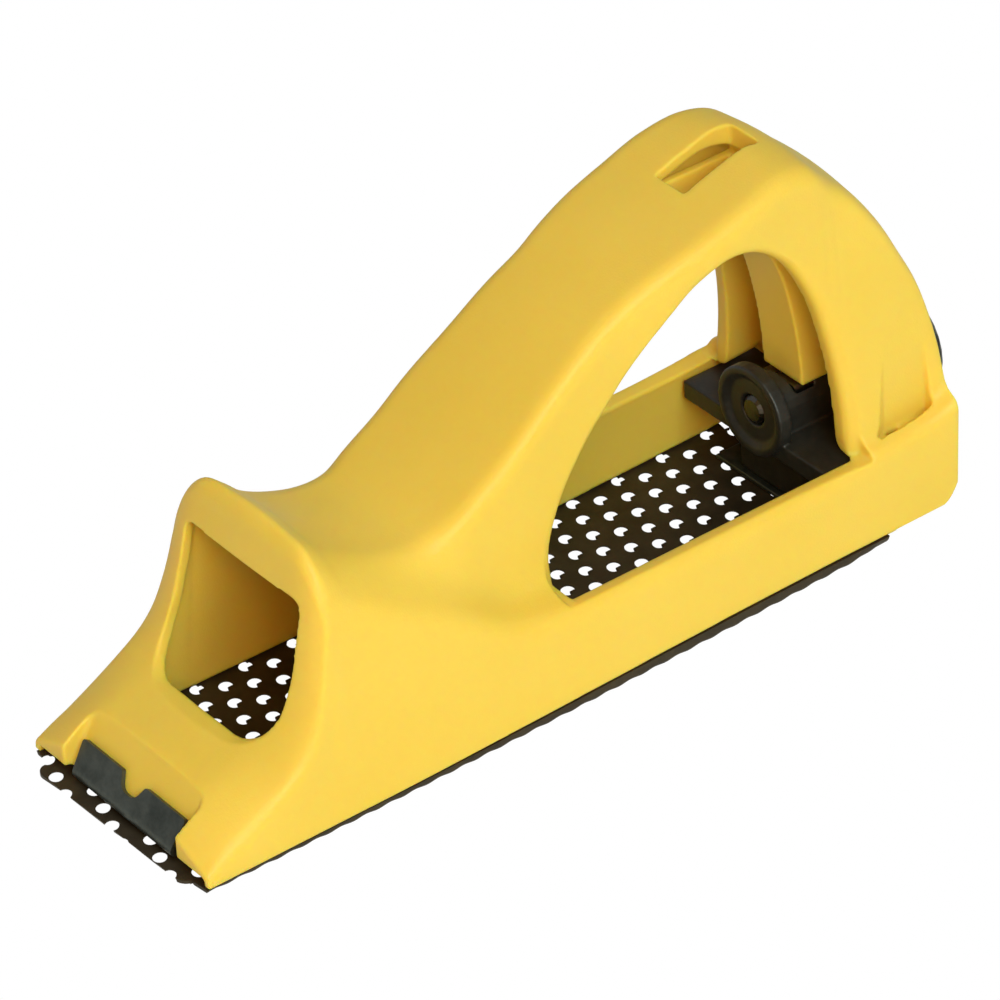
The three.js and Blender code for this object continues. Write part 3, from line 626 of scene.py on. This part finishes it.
def strip_outline():
    """Edge of the sheet laid flat, counter-clockwise: flanged sides, then bare ends with round corners."""
    edge = HALF_FLAT + BEND_LENGTH + LIP_LENGTH
    count = int(FLANGE_END / BAND_STEP)
    quarter = [(FLANGE_END * index / count, edge) for index in range(count + 1)]
    quarter.append((FLANGE_END + NECK_LENGTH, HALF_END + NECK_DEPTH))
    for index in range(CORNER_STEPS + 1):
        turn = math.pi / 2 * (1.0 - index / CORNER_STEPS)
        x = STRIP_REACH - CORNER_RADIUS + CORNER_RADIUS * math.cos(turn)
        quarter.append((x, HALF_END - CORNER_RADIUS + CORNER_RADIUS * math.sin(turn)))
    half = quarter + [(x, -y) for x, y in reversed(quarter)]
    toe = [(-x - (TOE_SKEW * y if x > SKEW_START else 0.0), y) for x, y in reversed(half[1:-1])]
    return [Vector(point) for point in reversed(half + toe)]


def punched_sheet(shape):
    """The bent sheet with its holes, added to a bmesh as one closed skin."""
    outline = strip_outline()
    centres = hole_places()
    points = list(outline)
    loops = [list(range(len(outline)))]
    first = Vector((math.cos(HOLE_TURN), math.sin(HOLE_TURN)))
    second = Vector((-first.y, first.x))
    for centre in centres:
        loops.append(list(range(len(points), len(points) + HOLE_STEPS)))
        for index in range(HOLE_STEPS):
            turn = 2.0 * math.pi * index / HOLE_STEPS
            along, aside = first * HOLE_LONG * math.cos(turn), second * HOLE_SHORT * math.sin(turn)
            points.append(centre + along + aside)
    count = int(FLANGE_END / BAND_STEP)
    for side in (-1, 1):
        for share in BEND_SHARES:
            along = side * (HALF_FLAT + BEND_LENGTH * share)
            for index in range(-count, count + 1):
                points.append(Vector((FLANGE_END * index / count * BAND_SHARE, along)))
    flat, _, faces, _, _, owners = delaunay_2d_cdt(points, [], loops, 1, SAME_POINT, True)
    kept = [face for face, owner in zip(faces, owners) if list(owner) == [0]]
    tree = KDTree(len(centres))
    for index, centre in enumerate(centres):
        tree.insert((centre.x, centre.y, 0.0), index)
    tree.balance()
    top = {}
    bottom = {}
    for index in {corner for face in kept for corner in face}:
        x, along = flat[index]
        top[index] = shape.verts.new(on_strip(x, along, 0.0))
        near, _, away = tree.find((x, along, 0.0))
        under = Vector((x, along))
        if away < HOLE_LONG + SLIVER and abs(along) < HALF_FLAT and on_rim(under, near):
            middle = Vector((near[0], near[1]))
            under = middle + (under - middle) * FLARE_GROWTH + FLARE
        bottom[index] = shape.verts.new(on_strip(under.x, under.y, SHEET))
    close_sheet(shape, kept, top, bottom)


def on_rim(point, centre):
    """Whether a point lies on the ellipse of the hole round a centre."""
    away = point - Vector((centre[0], centre[1]))
    long = away.x * math.cos(HOLE_TURN) + away.y * math.sin(HOLE_TURN)
    short = away.y * math.cos(HOLE_TURN) - away.x * math.sin(HOLE_TURN)
    return (long / HOLE_LONG) ** 2 + (short / HOLE_SHORT) ** 2 < RIM_LIMIT


def add_tooth(shape, centre):
    """One tooth: a pointed tongue bent down from behind its hole."""
    ahead = Vector((math.cos(TOOTH_TURN), math.sin(TOOTH_TURN)))
    aside = Vector((-ahead.y, ahead.x))
    floor = floor_at(centre.x)

    def place(along, across, up):
        flat = centre + ahead * along + aside * across
        return shape.verts.new((flat.x, flat.y, floor + up))

    rings = []
    for up, front, middle, back, half in TOOTH_LEVELS:
        corners = ((front, 0.0), (middle, -half), (back, -half / 2), (back, half / 2), (middle, half))
        rings.append([place(along, across, up) for along, across in corners])
    shape.faces.new(list(reversed(rings[0])))
    count = len(rings[0])
    for upper, lower in zip(rings, rings[1:]):
        for index in range(count):
            after = (index + 1) % count
            shape.faces.new([upper[index], upper[after], lower[after], lower[index]])
    tip = place(TOOTH_TIP[0], 0.0, TOOTH_TIP[1])
    for index in range(count):
        shape.faces.new([rings[-1][index], rings[-1][(index + 1) % count], tip])


def hook_line():
    """Middle line of the toe hook in the side view: down the slope, round a roll and back inside."""
    slope = math.radians(HOOK_SLOPE)
    ahead = np.array((-math.sin(slope), math.cos(slope)))
    rise = np.array((math.cos(slope), math.sin(slope)))
    start = np.array((TOE, HOOK_BASE)) + ahead * (HOOK_SHEET / 2 + HOOK_GAP - BED_DEPTH)
    floor = floor_at(TOE) + (HOOK_GAP + HOOK_SHEET) / 2
    corner = start + rise * (floor - start[1]) / rise[1]
    end = np.array((TOE + HOOK_FOOT, floor))
    return np.array(rounded([start + rise * HOOK_RISE, corner, end], [HOOK_ROLL], ROLL_STEPS))


def toe_hook():
    """The toe's hook plate: a notched sheet rolled over at its lower edge."""
    line = hook_line()
    reach = np.concatenate([[0.0], np.cumsum(np.hypot(*np.diff(line, axis=0).T))])
    ways = np.gradient(line, reach, axis=0)
    ways /= np.linalg.norm(ways, axis=1)[:, None]
    corners = [(0.0, NOTCH_TOP), (NOTCH_DEEP, NOTCH_BOTTOM), (NOTCH_DEEP, -NOTCH_BOTTOM), (0.0, -NOTCH_TOP)]
    corners += [(0.0, -HOOK_HALF), (reach[-1], -HOOK_HALF), (reach[-1], HOOK_HALF), (0.0, HOOK_HALF)]
    outline = [Vector(point) for point in closed_rounded(corners, HOOK_RADII, HOOK_STEPS)]
    inner = HOOK_HALF - HOOK_MARGIN
    spread = np.linspace(-inner, inner, HOOK_COLUMNS)
    points = outline + [Vector((along, y)) for along in reach[1:-1] for y in spread]
    loops = [list(range(len(outline)))]
    flat, _, faces, _, _, owners = delaunay_2d_cdt(points, [], loops, 1, SAME_POINT, True)
    shape = bmesh.new()
    layers = []
    for offset in (HOOK_SHEET / 2, -HOOK_SHEET / 2):
        layer = []
        for along, y in flat:
            x, up = (np.interp(along, reach, line[:, axis]) for axis in (0, 1))
            across, rise = (np.interp(along, reach, ways[:, axis]) for axis in (0, 1))
            layer.append(shape.verts.new((x + rise * offset, y, up - across * offset)))
        layers.append(layer)
    close_sheet(shape, [face for face, owner in zip(faces, owners) if 0 in owner], *layers)
    return finished(shape, "toe_hook_plate")


def close_sheet(shape, faces, top, bottom):
    """Faces over, under and round the edges of a sheet."""
    edges = set()
    for face in faces:
        shape.faces.new([top[corner] for corner in face])
        shape.faces.new([bottom[corner] for corner in reversed(face)])
        for here, there in zip(face, face[1:] + face[:1]):
            if (there, here) in edges:
                edges.remove((there, here))
            else:
                edges.add((here, there))
    for here, there in sorted(edges):
        shape.faces.new([top[there], top[here], bottom[here], bottom[there]])


def finished(shape, name):
    """A bmesh in the part's millimetres as a mesh in the shared frame, smooth but for its sharp edges."""
    bmesh.ops.recalc_face_normals(shape, faces=shape.faces)
    for vert in shape.verts:
        vert.co = (vert.co + ORIGIN) * MM
    mesh = bpy.data.meshes.new(name)
    shape.to_mesh(mesh)
    shape.free()
    mesh.polygons.foreach_set("use_smooth", [True] * len(mesh.polygons))
    mesh.set_sharp_from_angle(angle=SHARP_ANGLE)
    return mesh


def toothed_strip():
    """The whole strip: punched sheet, bent edges and a tooth behind every hole but the end ones."""
    shape = bmesh.new()
    punched_sheet(shape)
    for centre in hole_places():
        if abs(centre.x) < TOOTH_ROOM:
            add_tooth(shape, centre)
    return finished(shape, "punched_strip")


def spline_rows(rows, step):
    """Rows of a table drawn on as a smooth curve through them, one column at a time."""
    rows = np.array(rows)
    gaps = np.hypot(np.diff(rows[:, 0]), np.diff(rows[:, 1]))
    slopes = np.diff(rows, axis=0) / gaps[:, None]
    before, after = gaps[:-1, None], gaps[1:, None]
    inner = (slopes[:-1] * after + slopes[1:] * before) / (before + after)
    tangents = np.vstack([slopes[:1], inner, slopes[-1:]])
    made = []
    for index, gap in enumerate(gaps):
        count = max(1, math.ceil(gap / step))
        for part in range(count):
            t = part / count
            made.append(
                (2 * t**3 - 3 * t**2 + 1) * rows[index]
                + (t**3 - 2 * t**2 + t) * gap * tangents[index]
                + (3 * t**2 - 2 * t**3) * rows[index + 1]
                + (t**3 - t**2) * gap * tangents[index + 1]
            )
    made.append(rows[-1])
    return made


def rounded(points, radii, steps):
    """An open run of points whose inner corners are each drawn as a short curve."""
    points = [np.array(point, dtype=float) for point in points]
    made = [points[0]]
    for before, corner, after, radius in zip(points, points[1:], points[2:], radii):
        back, on = before - corner, after - corner
        reach = min(radius, CORNER_SHARE * np.linalg.norm(back), CORNER_SHARE * np.linalg.norm(on))
        enter = corner + back / np.linalg.norm(back) * reach
        leave = corner + on / np.linalg.norm(on) * reach
        for index in range(steps + 1):
            t = index / steps
            made.append(enter * (1 - t) ** 2 + corner * 2 * t * (1 - t) + leave * t**2)
    return made + [points[-1]]


def closed_rounded(points, radii, steps):
    """The same for a closed outline, given counter-clockwise."""
    whole = rounded([points[-1], *points, points[0]], radii, steps)
    return whole[1:-1]


def rectangle(left, right, low, high):
    """Corners of a rectangle, counter-clockwise."""
    return [(left, low), (right, low), (right, high), (left, high)]


def skin(rings):
    """Closed mesh data through rings that all have the same number of points, capped at both ends."""
    count = len(rings[0])
    vertices = [tuple(point) for ring in rings for point in ring]
    faces = [tuple(range(count))[::-1]]
    for row in range(len(rings) - 1):
        for column in range(count):
            here, there = row * count + column, row * count + (column + 1) % count
            faces.append((here, there, there + count, here + count))
    last = (len(rings) - 1) * count
    faces.append(tuple(range(last, last + count)))
    return vertices, faces


def prism(outline, axis, low, high):
    """Mesh data of an outline pushed along X, Y or Z."""
    rings = []
    for level in (low, high):
        ring = []
        for point in outline:
            placed = list(point)
            placed.insert("XYZ".index(axis), level)
            ring.append(placed)
        rings.append(ring)
    return skin(rings)


def tube(outer, inner, low, high, up, steps):
    """Mesh data of a round tube along X, its middle at a height up."""
    rings = []
    profile = [(low, inner), (low, outer), (high, outer), (high, inner)]
    angles = [2 * math.pi * index / steps for index in range(steps)]
    for along, radius in profile + profile[:1]:
        rings.append([(along, radius * math.cos(a), up + radius * math.sin(a)) for a in angles])
    vertices, faces = skin(rings)
    whole = len(profile) * steps
    return vertices[:whole], [tuple(corner % whole for corner in face) for face in faces[1:-1]]


def raw_object(name, data):
    """Mesh data in the part's millimetres as an object in the shared frame, normals facing out."""
    vertices, faces = data
    shape = bmesh.new()
    placed = [shape.verts.new((Vector(vertex) + ORIGIN) * MM) for vertex in vertices]
    for face in faces:
        shape.faces.new([placed[corner] for corner in face])
    bmesh.ops.recalc_face_normals(shape, faces=shape.faces)
    mesh = bpy.data.meshes.new(name)
    shape.to_mesh(mesh)
    shape.free()
    made = bpy.data.objects.new(name, mesh)
    bpy.context.scene.collection.objects.link(made)
    return made


def rim_at(x):
    """Height of the body's visible lower edge, which lifts and rounds up at the heel."""
    heel = max(0.0, 1.0 - (HEEL - x) / HEEL_RUN) * HEEL_LIFT
    turn = max(0.0, 1.0 - (HEEL - x) / HEEL_ROUND) ** 2 * HEEL_ROUND
    return lip_at(x) + FLANGE_GAP + heel + turn


def outside_ring(row):
    """One ring of the body's outside, from its skirt over the top and down the other side."""
    x, top, crown, crown_up, foot, foot_up, shoulder, shoulder_up = row
    side = HALF_BODY * (1.0 - HEEL_TAPER * (x - TOE) / (HEEL - TOE))
    rim = rim_at(x)
    low = floor_at(x) + FLANGE_GAP if x < HALF_STRIP + FLANGE_GAP else rim - 2 * SLIVER
    half = [
        (SKIRT_OUTER, low),
        (SKIRT_OUTER, rim),
        (side, rim + SLIVER),
        (shoulder, shoulder_up),
        (foot, foot_up),
        (crown, crown_up),
    ]
    peak = [(0.0, top)]
    points = half + peak + [(-across, up) for across, up in reversed(half)]
    radii = [SKIRT_RADIUS, RIM_RADIUS, SHOULDER_RADIUS, *ridge_radii(x)]
    run = rounded(points, radii + radii[-2::-1], RING_STEPS)
    return [(x, across, up) for across, up in run]


def from_nose(x, nose, rest):
    """A size that changes from its value at the nose to that behind the saddle."""
    return nose + (rest - nose) * smooth_share((x - RIDGE) / (SADDLE - RIDGE))


def ridge_radii(x):
    """Corner sizes at the foot, crown and peak of a section, tighter at the nose."""
    return [
        from_nose(x, NOSE_FOOT_RADIUS, FOOT_RADIUS),
        from_nose(x, NOSE_CROWN_RADIUS, CROWN_RADIUS),
        from_nose(x, NOSE_PEAK_RADIUS, PEAK_RADIUS),
    ]


def inside_ring(row):
    """One ring of the room inside the body, open below."""
    x, top, crown, crown_up, foot, foot_up, shoulder, shoulder_up = row
    rise = min(1.0, (shoulder_up - ROOF_WALL) / RAIL_HEIGHT)
    wall = HALF_BODY - SKIRT_INNER + (RAIL_WALL - HALF_BODY + SKIRT_INNER) * rise
    shell = from_nose(x, NOSE_WALL, SHELL_WALL)
    roof = shoulder_up - ROOF_WALL
    if x > OPENING_START + OPENING_LENGTH / 2:
        roof = min(roof, POCKET_SILL - ROOF_WALL)
    half = [
        (SKIRT_INNER, ROOM_LOW),
        (shoulder - wall, roof),
        (foot - from_nose(x, NOSE_SIDE, LEG_WALL), foot_up - shell),
        (crown - shell, crown_up - shell),
    ]
    peak = [(0.0, top - from_nose(x, NOSE_WALL, TOP_WALL))]
    points = half + peak + [(-across, up) for across, up in reversed(half)]
    swell = min(max((OPENING_START - SWELL_GAP - x) / SWELL_RUN, 0.0), 1.0)
    radii = [ROOM_RADIUS + SWELL_RADIUS * swell, *ridge_radii(x)]
    run = rounded(points, radii + radii[-2::-1], RING_STEPS)
    back = NOSE_WALL * (1.0 - smooth_share((x - RIDGE + NOSE_FADE_START) / NOSE_FADE_RUN))
    forward = REAR_WALL * smooth_share((x - SADDLE) / (HEEL - SADDLE))
    return [(x + back - forward, across, up) for across, up in run]


def near_move(share):
    """How far the finger opening is moved along at its near wall, at a share of its length."""
    return NEAR_START + (NEAR_END - NEAR_START) * share


def rail_cutter():
    """The finger opening between the rails: their tops lean in a little toward it."""
    gap = RAIL_SHOULDER - RAIL_WALL
    half = [
        (gap, GAP_LOW),
        (gap, RAIL_HEIGHT - EDGE_DROP),
        (gap + EDGE_RUN, RAIL_HEIGHT + EDGE_OVER),
        (gap + EDGE_RUN, GAP_HIGH),
    ]
    rings = []
    for share in (0.0, 1.0):
        x = OPENING_START + OPENING_LENGTH * share
        far_side = [(x + FAR_MOVE, across, up) for across, up in half]
        near_side = [(x + near_move(share), -across, up) for across, up in reversed(half)]
        rings.append(far_side + near_side)
    return skin(rings)


def window_relief(frame_line):
    """Room behind the window's sill, so that the sill is only as thick as the wall."""
    table = np.array([row for row in SECTIONS if row[0] < RIDGE])
    face_up = table[:, 3] * FACE_SHARE + table[:, 5] * (1.0 - FACE_SHARE)
    near, far = [], []
    for across, up in frame_line:
        face = np.interp(up, face_up, table[:, 0])
        low = 1.0 - smooth_share((up - WINDOW_SILL) / RELIEF_FADE)
        start = face + RELIEF_START
        near.append((start, across * RELIEF_NEAR_SHARE, up))
        far.append((start + RELIEF_RUN, across * RELIEF_FAR_SHARE, up - RELIEF_DROP * low))
    return skin([near, far])


def arch_line():
    """The finger opening's outline in the side view."""
    height = OPENING_TOP - RAIL_HEIGHT
    corners = []
    for along, up in ARCH_SHARES:
        corners.append((OPENING_START + along * OPENING_LENGTH, RAIL_HEIGHT + up * height))
    return np.array(spline_rows(corners, ARCH_STEP))


def arch_cutter():
    """The finger opening, its edges rounded off where it meets the body's sides."""
    line = arch_line()
    ways = np.gradient(line, axis=0)
    ways /= np.linalg.norm(ways, axis=1)[:, None]
    out = np.stack([-ways[:, 1], ways[:, 0]], axis=1)
    table = np.array(SECTIONS)
    columns = (np.interp(line[:, 0], table[:, 0], table[:, column]) for column in (2, 3, 4, 5))
    crown, crown_up, foot, foot_up = columns
    share = np.clip((line[:, 1] - foot_up) / (crown_up - foot_up), 0.0, 1.0)
    half = foot + (crown - foot) * share
    mouth = half + MOUTH_RUN
    rings = [cutter_ring(line, out, -mouth, ARCH_FILLET * MOUTH_SHARE)]
    for side, depths in ((-1, ARCH_DEPTHS), (1, ARCH_DEPTHS[::-1])):
        for depth in depths:
            inward = max(0.0, 1.0 - depth / ARCH_FILLET)
            grow = ARCH_FILLET * (1.0 - math.sqrt(1.0 - inward * inward))
            rings.append(cutter_ring(line, out, side * (half - depth), grow))
    rings.append(cutter_ring(line, out, mouth, ARCH_FILLET * MOUTH_SHARE))
    return skin(rings)


def cutter_ring(line, out, across, grow):
    """One ring of the arch's cutter: its line moved out by grow, at a place across for each point."""
    ring = []
    for (x, up), way, y in zip(line, out, across):
        move = FAR_MOVE if y > 0 else near_move((x - OPENING_START) / OPENING_LENGTH)
        ring.append((x + move + way[0] * grow, y, max(RAIL_HEIGHT, up + way[1] * grow)))
    return ring


def rear_rib():
    """Rib down the middle of the rear leg, a little behind the arch and sunk into the leg's skin."""
    table = np.array(SECTIONS)
    front = [(x + RIB_SETBACK, up) for x, up in arch_line() if x > RIB_START and up > RIB_LOW]
    end = HEEL - RIB_BACK
    back = []
    for x in np.arange(end, front[0][0], -RIB_STEP):
        back.append((x, np.interp(x, table[:, 0], table[:, 1]) - RIB_SINK))
    roof = (front[0][0], back[-1][1])
    foot = [(front[-1][0], RIB_LOW), (end, RIB_LOW)]
    return prism([roof, *front, *foot, *back], "Y", -RIB_HALF, RIB_HALF)


def slot_walls():
    """Four walls under the hanging slot. Toward the heel they end short of the roof, so a gap shows."""
    start, end = SLOT_START - SLOT_WALL, SLOT_START + SLOT_LENGTH + SLOT_WALL
    wide = SLOT_HALF + SLOT_WALL
    for outline in (
        rectangle(start, SLOT_START, -wide, wide),
        rectangle(end - SLOT_WALL, end, -wide, wide),
        rectangle(start, end, -wide, -SLOT_HALF),
        rectangle(start, end, SLOT_HALF, wide),
    ):
        yield prism(outline, "Z", SLOT_FLOOR, SLOT_ROOF)


def room_cutter():
    """The room inside the body, from behind the toe's solid block to the heel."""
    rings = [inside_ring(row) for row in spline_rows(SECTIONS, INSIDE_STEP) if row[0] < HEEL - ROOM_END]
    first = TOE + TOE_BLOCK
    rings = [ring for ring in rings if ring[0][0] > first]
    return skin([[(first, across, up) for _, across, up in rings[0]], *rings])


def window_cutters():
    """The window through the nose, and the room behind its sill."""
    corners = [
        (-WINDOW_LOW, WINDOW_SILL),
        (WINDOW_LOW, WINDOW_SILL),
        (WINDOW_HIGH, WINDOW_HEAD),
        (-WINDOW_HIGH, WINDOW_HEAD),
    ]
    frame_line = closed_rounded(corners, WINDOW_RADII, WINDOW_STEPS)
    yield prism(frame_line, "X", TOE, RIDGE)
    yield window_relief(frame_line)


def slot_cutter():
    """The hanging slot through the handle's top."""
    corners = rectangle(SLOT_START, SLOT_START + SLOT_LENGTH, -SLOT_HALF, SLOT_HALF)
    outline = closed_rounded(corners, [SLOT_RADIUS] * 4, SLOT_STEPS)
    return prism(outline, "Z", OPENING_TOP - SLOT_OVERRUN, ABOVE_ALL)


def bed_cutter():
    """The sloped bed in the toe's face that the hook plate lies in, square below and rounded above."""
    half = HOOK_HALF + BED_MARGIN
    radii = [SLIVER, SLIVER, BED_RADIUS, BED_RADIUS]
    bed = closed_rounded(rectangle(-half, half, BED_LOW, BED_HIGH), radii, BED_STEPS)
    vertices, faces = prism(bed, "X", 0.0, BED_REACH)
    slope = math.radians(HOOK_SLOPE)
    ahead = Vector((-math.sin(slope), 0.0, math.cos(slope)))
    rise = Vector((math.cos(slope), 0.0, math.sin(slope)))
    start = Vector((TOE, 0.0, HOOK_BASE)) - ahead * BED_DEPTH
    return [start + ahead * x + Vector((0.0, y, 0.0)) + rise * z for x, y, z in vertices], faces


def toe_gap():
    """Room under the toe's block for the strip and its hook."""
    outline = rectangle(-SKIRT_OUTER, SKIRT_OUTER, -OVERRUN, TOE_GAP_TOP)
    return prism(outline, "X", TOE - OVERRUN, TOE + TOE_BLOCK)


def heel_pocket(side):
    """The recess in one side of the heel, sloped at its front."""
    mouth = side * POCKET_MOUTH
    rings = []
    for along, deep in ((0.0, 0.0), (POCKET_SLOPE, 1.0), (POCKET_LENGTH, 1.0)):
        inner = side * (POCKET_MOUTH - deep * POCKET_DEPTH)
        crest = side * (POCKET_MOUTH - deep * (POCKET_MOUTH - POCKET_CREST))
        corners = ((mouth, POCKET_SILL), (inner, POCKET_SILL), (crest, POCKET_TOP), (mouth, POCKET_TOP))
        rings.append([(POCKET_START + along, across, up) for across, up in corners])
    return skin(rings)


def heel_slit(side):
    """The slit at the foot of one side's recess, down into the rail."""
    low, high = sorted((side * SLIT_INNER, side * SLIT_OUTER))
    outline = rectangle(low, high, RAIL_SHOULDER - SLIT_DROP, POCKET_SILL + SLIT_OVER)
    return prism(outline, "X", SLIT_START, SLIT_START + SLIT_LENGTH)


def screw_bore():
    """The screw's bore through the heel, as a tube whose core is too thin to outlast the remesh."""
    return tube(BORE_RADIUS, BORE_CORE, HEEL - BORE_RUN, HEEL + OVERRUN, SCREW_UP, BORE_STEPS)


def screw_boss():
    """The round boss inside the heel, round the screw's bore."""
    return tube(BOSS_RADIUS, BORE_RADIUS, HEEL - BOSS_START, HEEL - BOSS_END, SCREW_UP, BOSS_STEPS)


def body_cutters():
    """Everything that is cut out of the body's outside."""
    yield room_cutter()
    yield arch_cutter()
    yield rail_cutter()
    yield from window_cutters()
    yield slot_cutter()
    yield bed_cutter()
    yield toe_gap()
    for side in (-1, 1):
        yield heel_pocket(side)
        yield heel_slit(side)
    yield screw_bore()


def moulded_body():
    """The whole body: a smooth skin through its sections, cut, ribbed, remeshed and softened."""
    rings = [outside_ring(row) for row in spline_rows(SECTIONS, OUTSIDE_STEP)]
    outside = raw_object("body_outside", skin(rings))
    scratch = [outside]
    for data in body_cutters():
        cutter = raw_object("body_cutter", data)
        cut = outside.modifiers.new("cut", "BOOLEAN")
        cut.operation = "DIFFERENCE"
        cut.solver = "MANIFOLD"
        cut.object = cutter
        scratch.append(cutter)
    graph = bpy.context.evaluated_depsgraph_get()
    shape = bmesh.new()
    shape.from_mesh(bpy.data.meshes.new_from_object(outside.evaluated_get(graph)))
    for data in (rear_rib(), screw_boss(), *slot_walls()):
        extra = raw_object("body_extra", data)
        shape.from_mesh(extra.data)
        scratch.append(extra)
    whole = bpy.data.meshes.new("body_whole")
    shape.to_mesh(whole)
    shape.free()
    for item in scratch:
        bpy.data.objects.remove(item)
    return softened("moulded_body", whole, BODY_CELL, SMOOTH_PASSES)


def softened_node(name, node, cell, passes):
    """A CAD node's own solid, softened, as a mesh."""
    return softened(name, node_object(node).data, cell, passes)


def pieces():
    """Every piece that stands for a CAD node: its name, its mesh, the body it rides on and the node."""
    heel_hook = softened_node("heel_hook_plate", "heel_hook", HOOK_CELL, SMOOTH_PASSES)
    slider = softened_node("moulded_slider", "tension_slider", SLIDER_CELL, SLIDER_PASSES)
    knob = softened_node("fluted_knob", "thumb_knob", KNOB_CELL, SMOOTH_PASSES)
    made = (
        ("moulded_body", moulded_body(), "housing", "body_shell"),
        ("punched_strip", toothed_strip(), "strip", "toothed_strip"),
        ("toe_hook_plate", toe_hook(), "strip", "toe_hook"),
        ("heel_hook_plate", heel_hook, "strip", "heel_hook"),
        ("moulded_slider", slider, "slider", "tension_slider"),
        ("fluted_knob", knob, "screw", "thumb_knob"),
    )
    slots = {entry["node"]: entry["material_slot"] for entry in frame["record"]["subparts"]}
    for name, mesh, carrier, node in made:
        add(name, mesh, carrier, slots[node], MATERIALS[slots[node]], (node,))


def camera():
    """The photograph's viewpoint, solved from the strip's grid of holes."""
    data = bpy.data.cameras.new("view")
    data.lens = CAMERA_LENS
    data.sensor_width = SENSOR_WIDTH
    data.sensor_fit = "HORIZONTAL"
    data.clip_start = CLIP_START
    data.clip_end = CLIP_END
    view = bpy.data.objects.new("view", data)
    bpy.context.scene.collection.objects.link(view)
    right = Vector(CAMERA_RIGHT).normalized()
    up = Vector(CAMERA_UP)
    up = (up - right * up.dot(right)).normalized()
    back = right.cross(up)
    turn = Matrix((right, up, back)).transposed().to_4x4()
    view.matrix_world = Matrix.Translation(CAMERA_PLACE) @ turn
    bpy.context.scene.camera = view


def area_light(name, place, size, power, colour):
    """A round soft light that faces the part."""
    data = bpy.data.lights.new(name, "AREA")
    data.shape = "DISK"
    data.size = size
    data.energy = power
    data.color = colour
    lamp = bpy.data.objects.new(name, data)
    bpy.context.scene.collection.objects.link(lamp)
    lamp.location = place
    lamp.rotation_euler = (Vector(AIM) - Vector(place)).to_track_quat("-Z", "Y").to_euler()


def white_floor():
    """Pale floor that the camera sees as plain white, and that lights the part from below."""
    mesh = bpy.data.meshes.new("floor")
    corners = rectangle(-FLOOR_HALF, FLOOR_HALF, -FLOOR_HALF, FLOOR_HALF)
    mesh.from_pydata([(x, y, 0.0) for x, y in corners], [], [(0, 1, 2, 3)])
    floor = bpy.data.objects.new("floor", mesh)
    bpy.context.scene.collection.objects.link(floor)
    s = Shader("floor_white")
    s.surface(Base_Color=FLOOR_COLOUR, Roughness=0.9)
    glow = s.node("ShaderNodeEmission", {"Color": WHITE, "Strength": 1.0})
    seen = s.node("ShaderNodeLightPath").outputs["Is Camera Ray"]
    mixed = s.node("ShaderNodeMixShader", {0: seen, 1: s.bsdf.outputs[0], 2: glow.outputs[0]})
    s.tree.links.new(mixed.outputs[0], s.tree.nodes["Material Output"].inputs["Surface"])
    mesh.materials.append(s.material)


def studio():
    """Soft light from the near left, the camera's place and above, in an even white world."""
    world = bpy.data.worlds.new("studio")
    bpy.context.scene.world = world
    world.use_nodes = True
    tree = world.node_tree
    background = tree.nodes["Background"]
    background.inputs["Color"].default_value = WHITE
    background.inputs["Strength"].default_value = WORLD_LIGHT
    seen = tree.nodes.new("ShaderNodeBackground")
    seen.inputs["Color"].default_value = WHITE
    path = tree.nodes.new("ShaderNodeLightPath")
    mixed = tree.nodes.new("ShaderNodeMixShader")
    tree.links.new(path.outputs["Is Camera Ray"], mixed.inputs[0])
    tree.links.new(background.outputs[0], mixed.inputs[1])
    tree.links.new(seen.outputs[0], mixed.inputs[2])
    tree.links.new(mixed.outputs[0], tree.nodes["World Output"].inputs["Surface"])
    bpy.context.scene.view_settings.view_transform = "Standard"
    area_light("key", KEY_PLACE, KEY_SIZE, KEY_LIGHT, KEY_TINT)
    area_light("fill", CAMERA_PLACE, FILL_SIZE, FILL_LIGHT, FILL_TINT)
    area_light("top", TOP_PLACE, TOP_SIZE, TOP_LIGHT, TOP_TINT)


dress_nodes()
pieces()
camera()
white_floor()
studio()
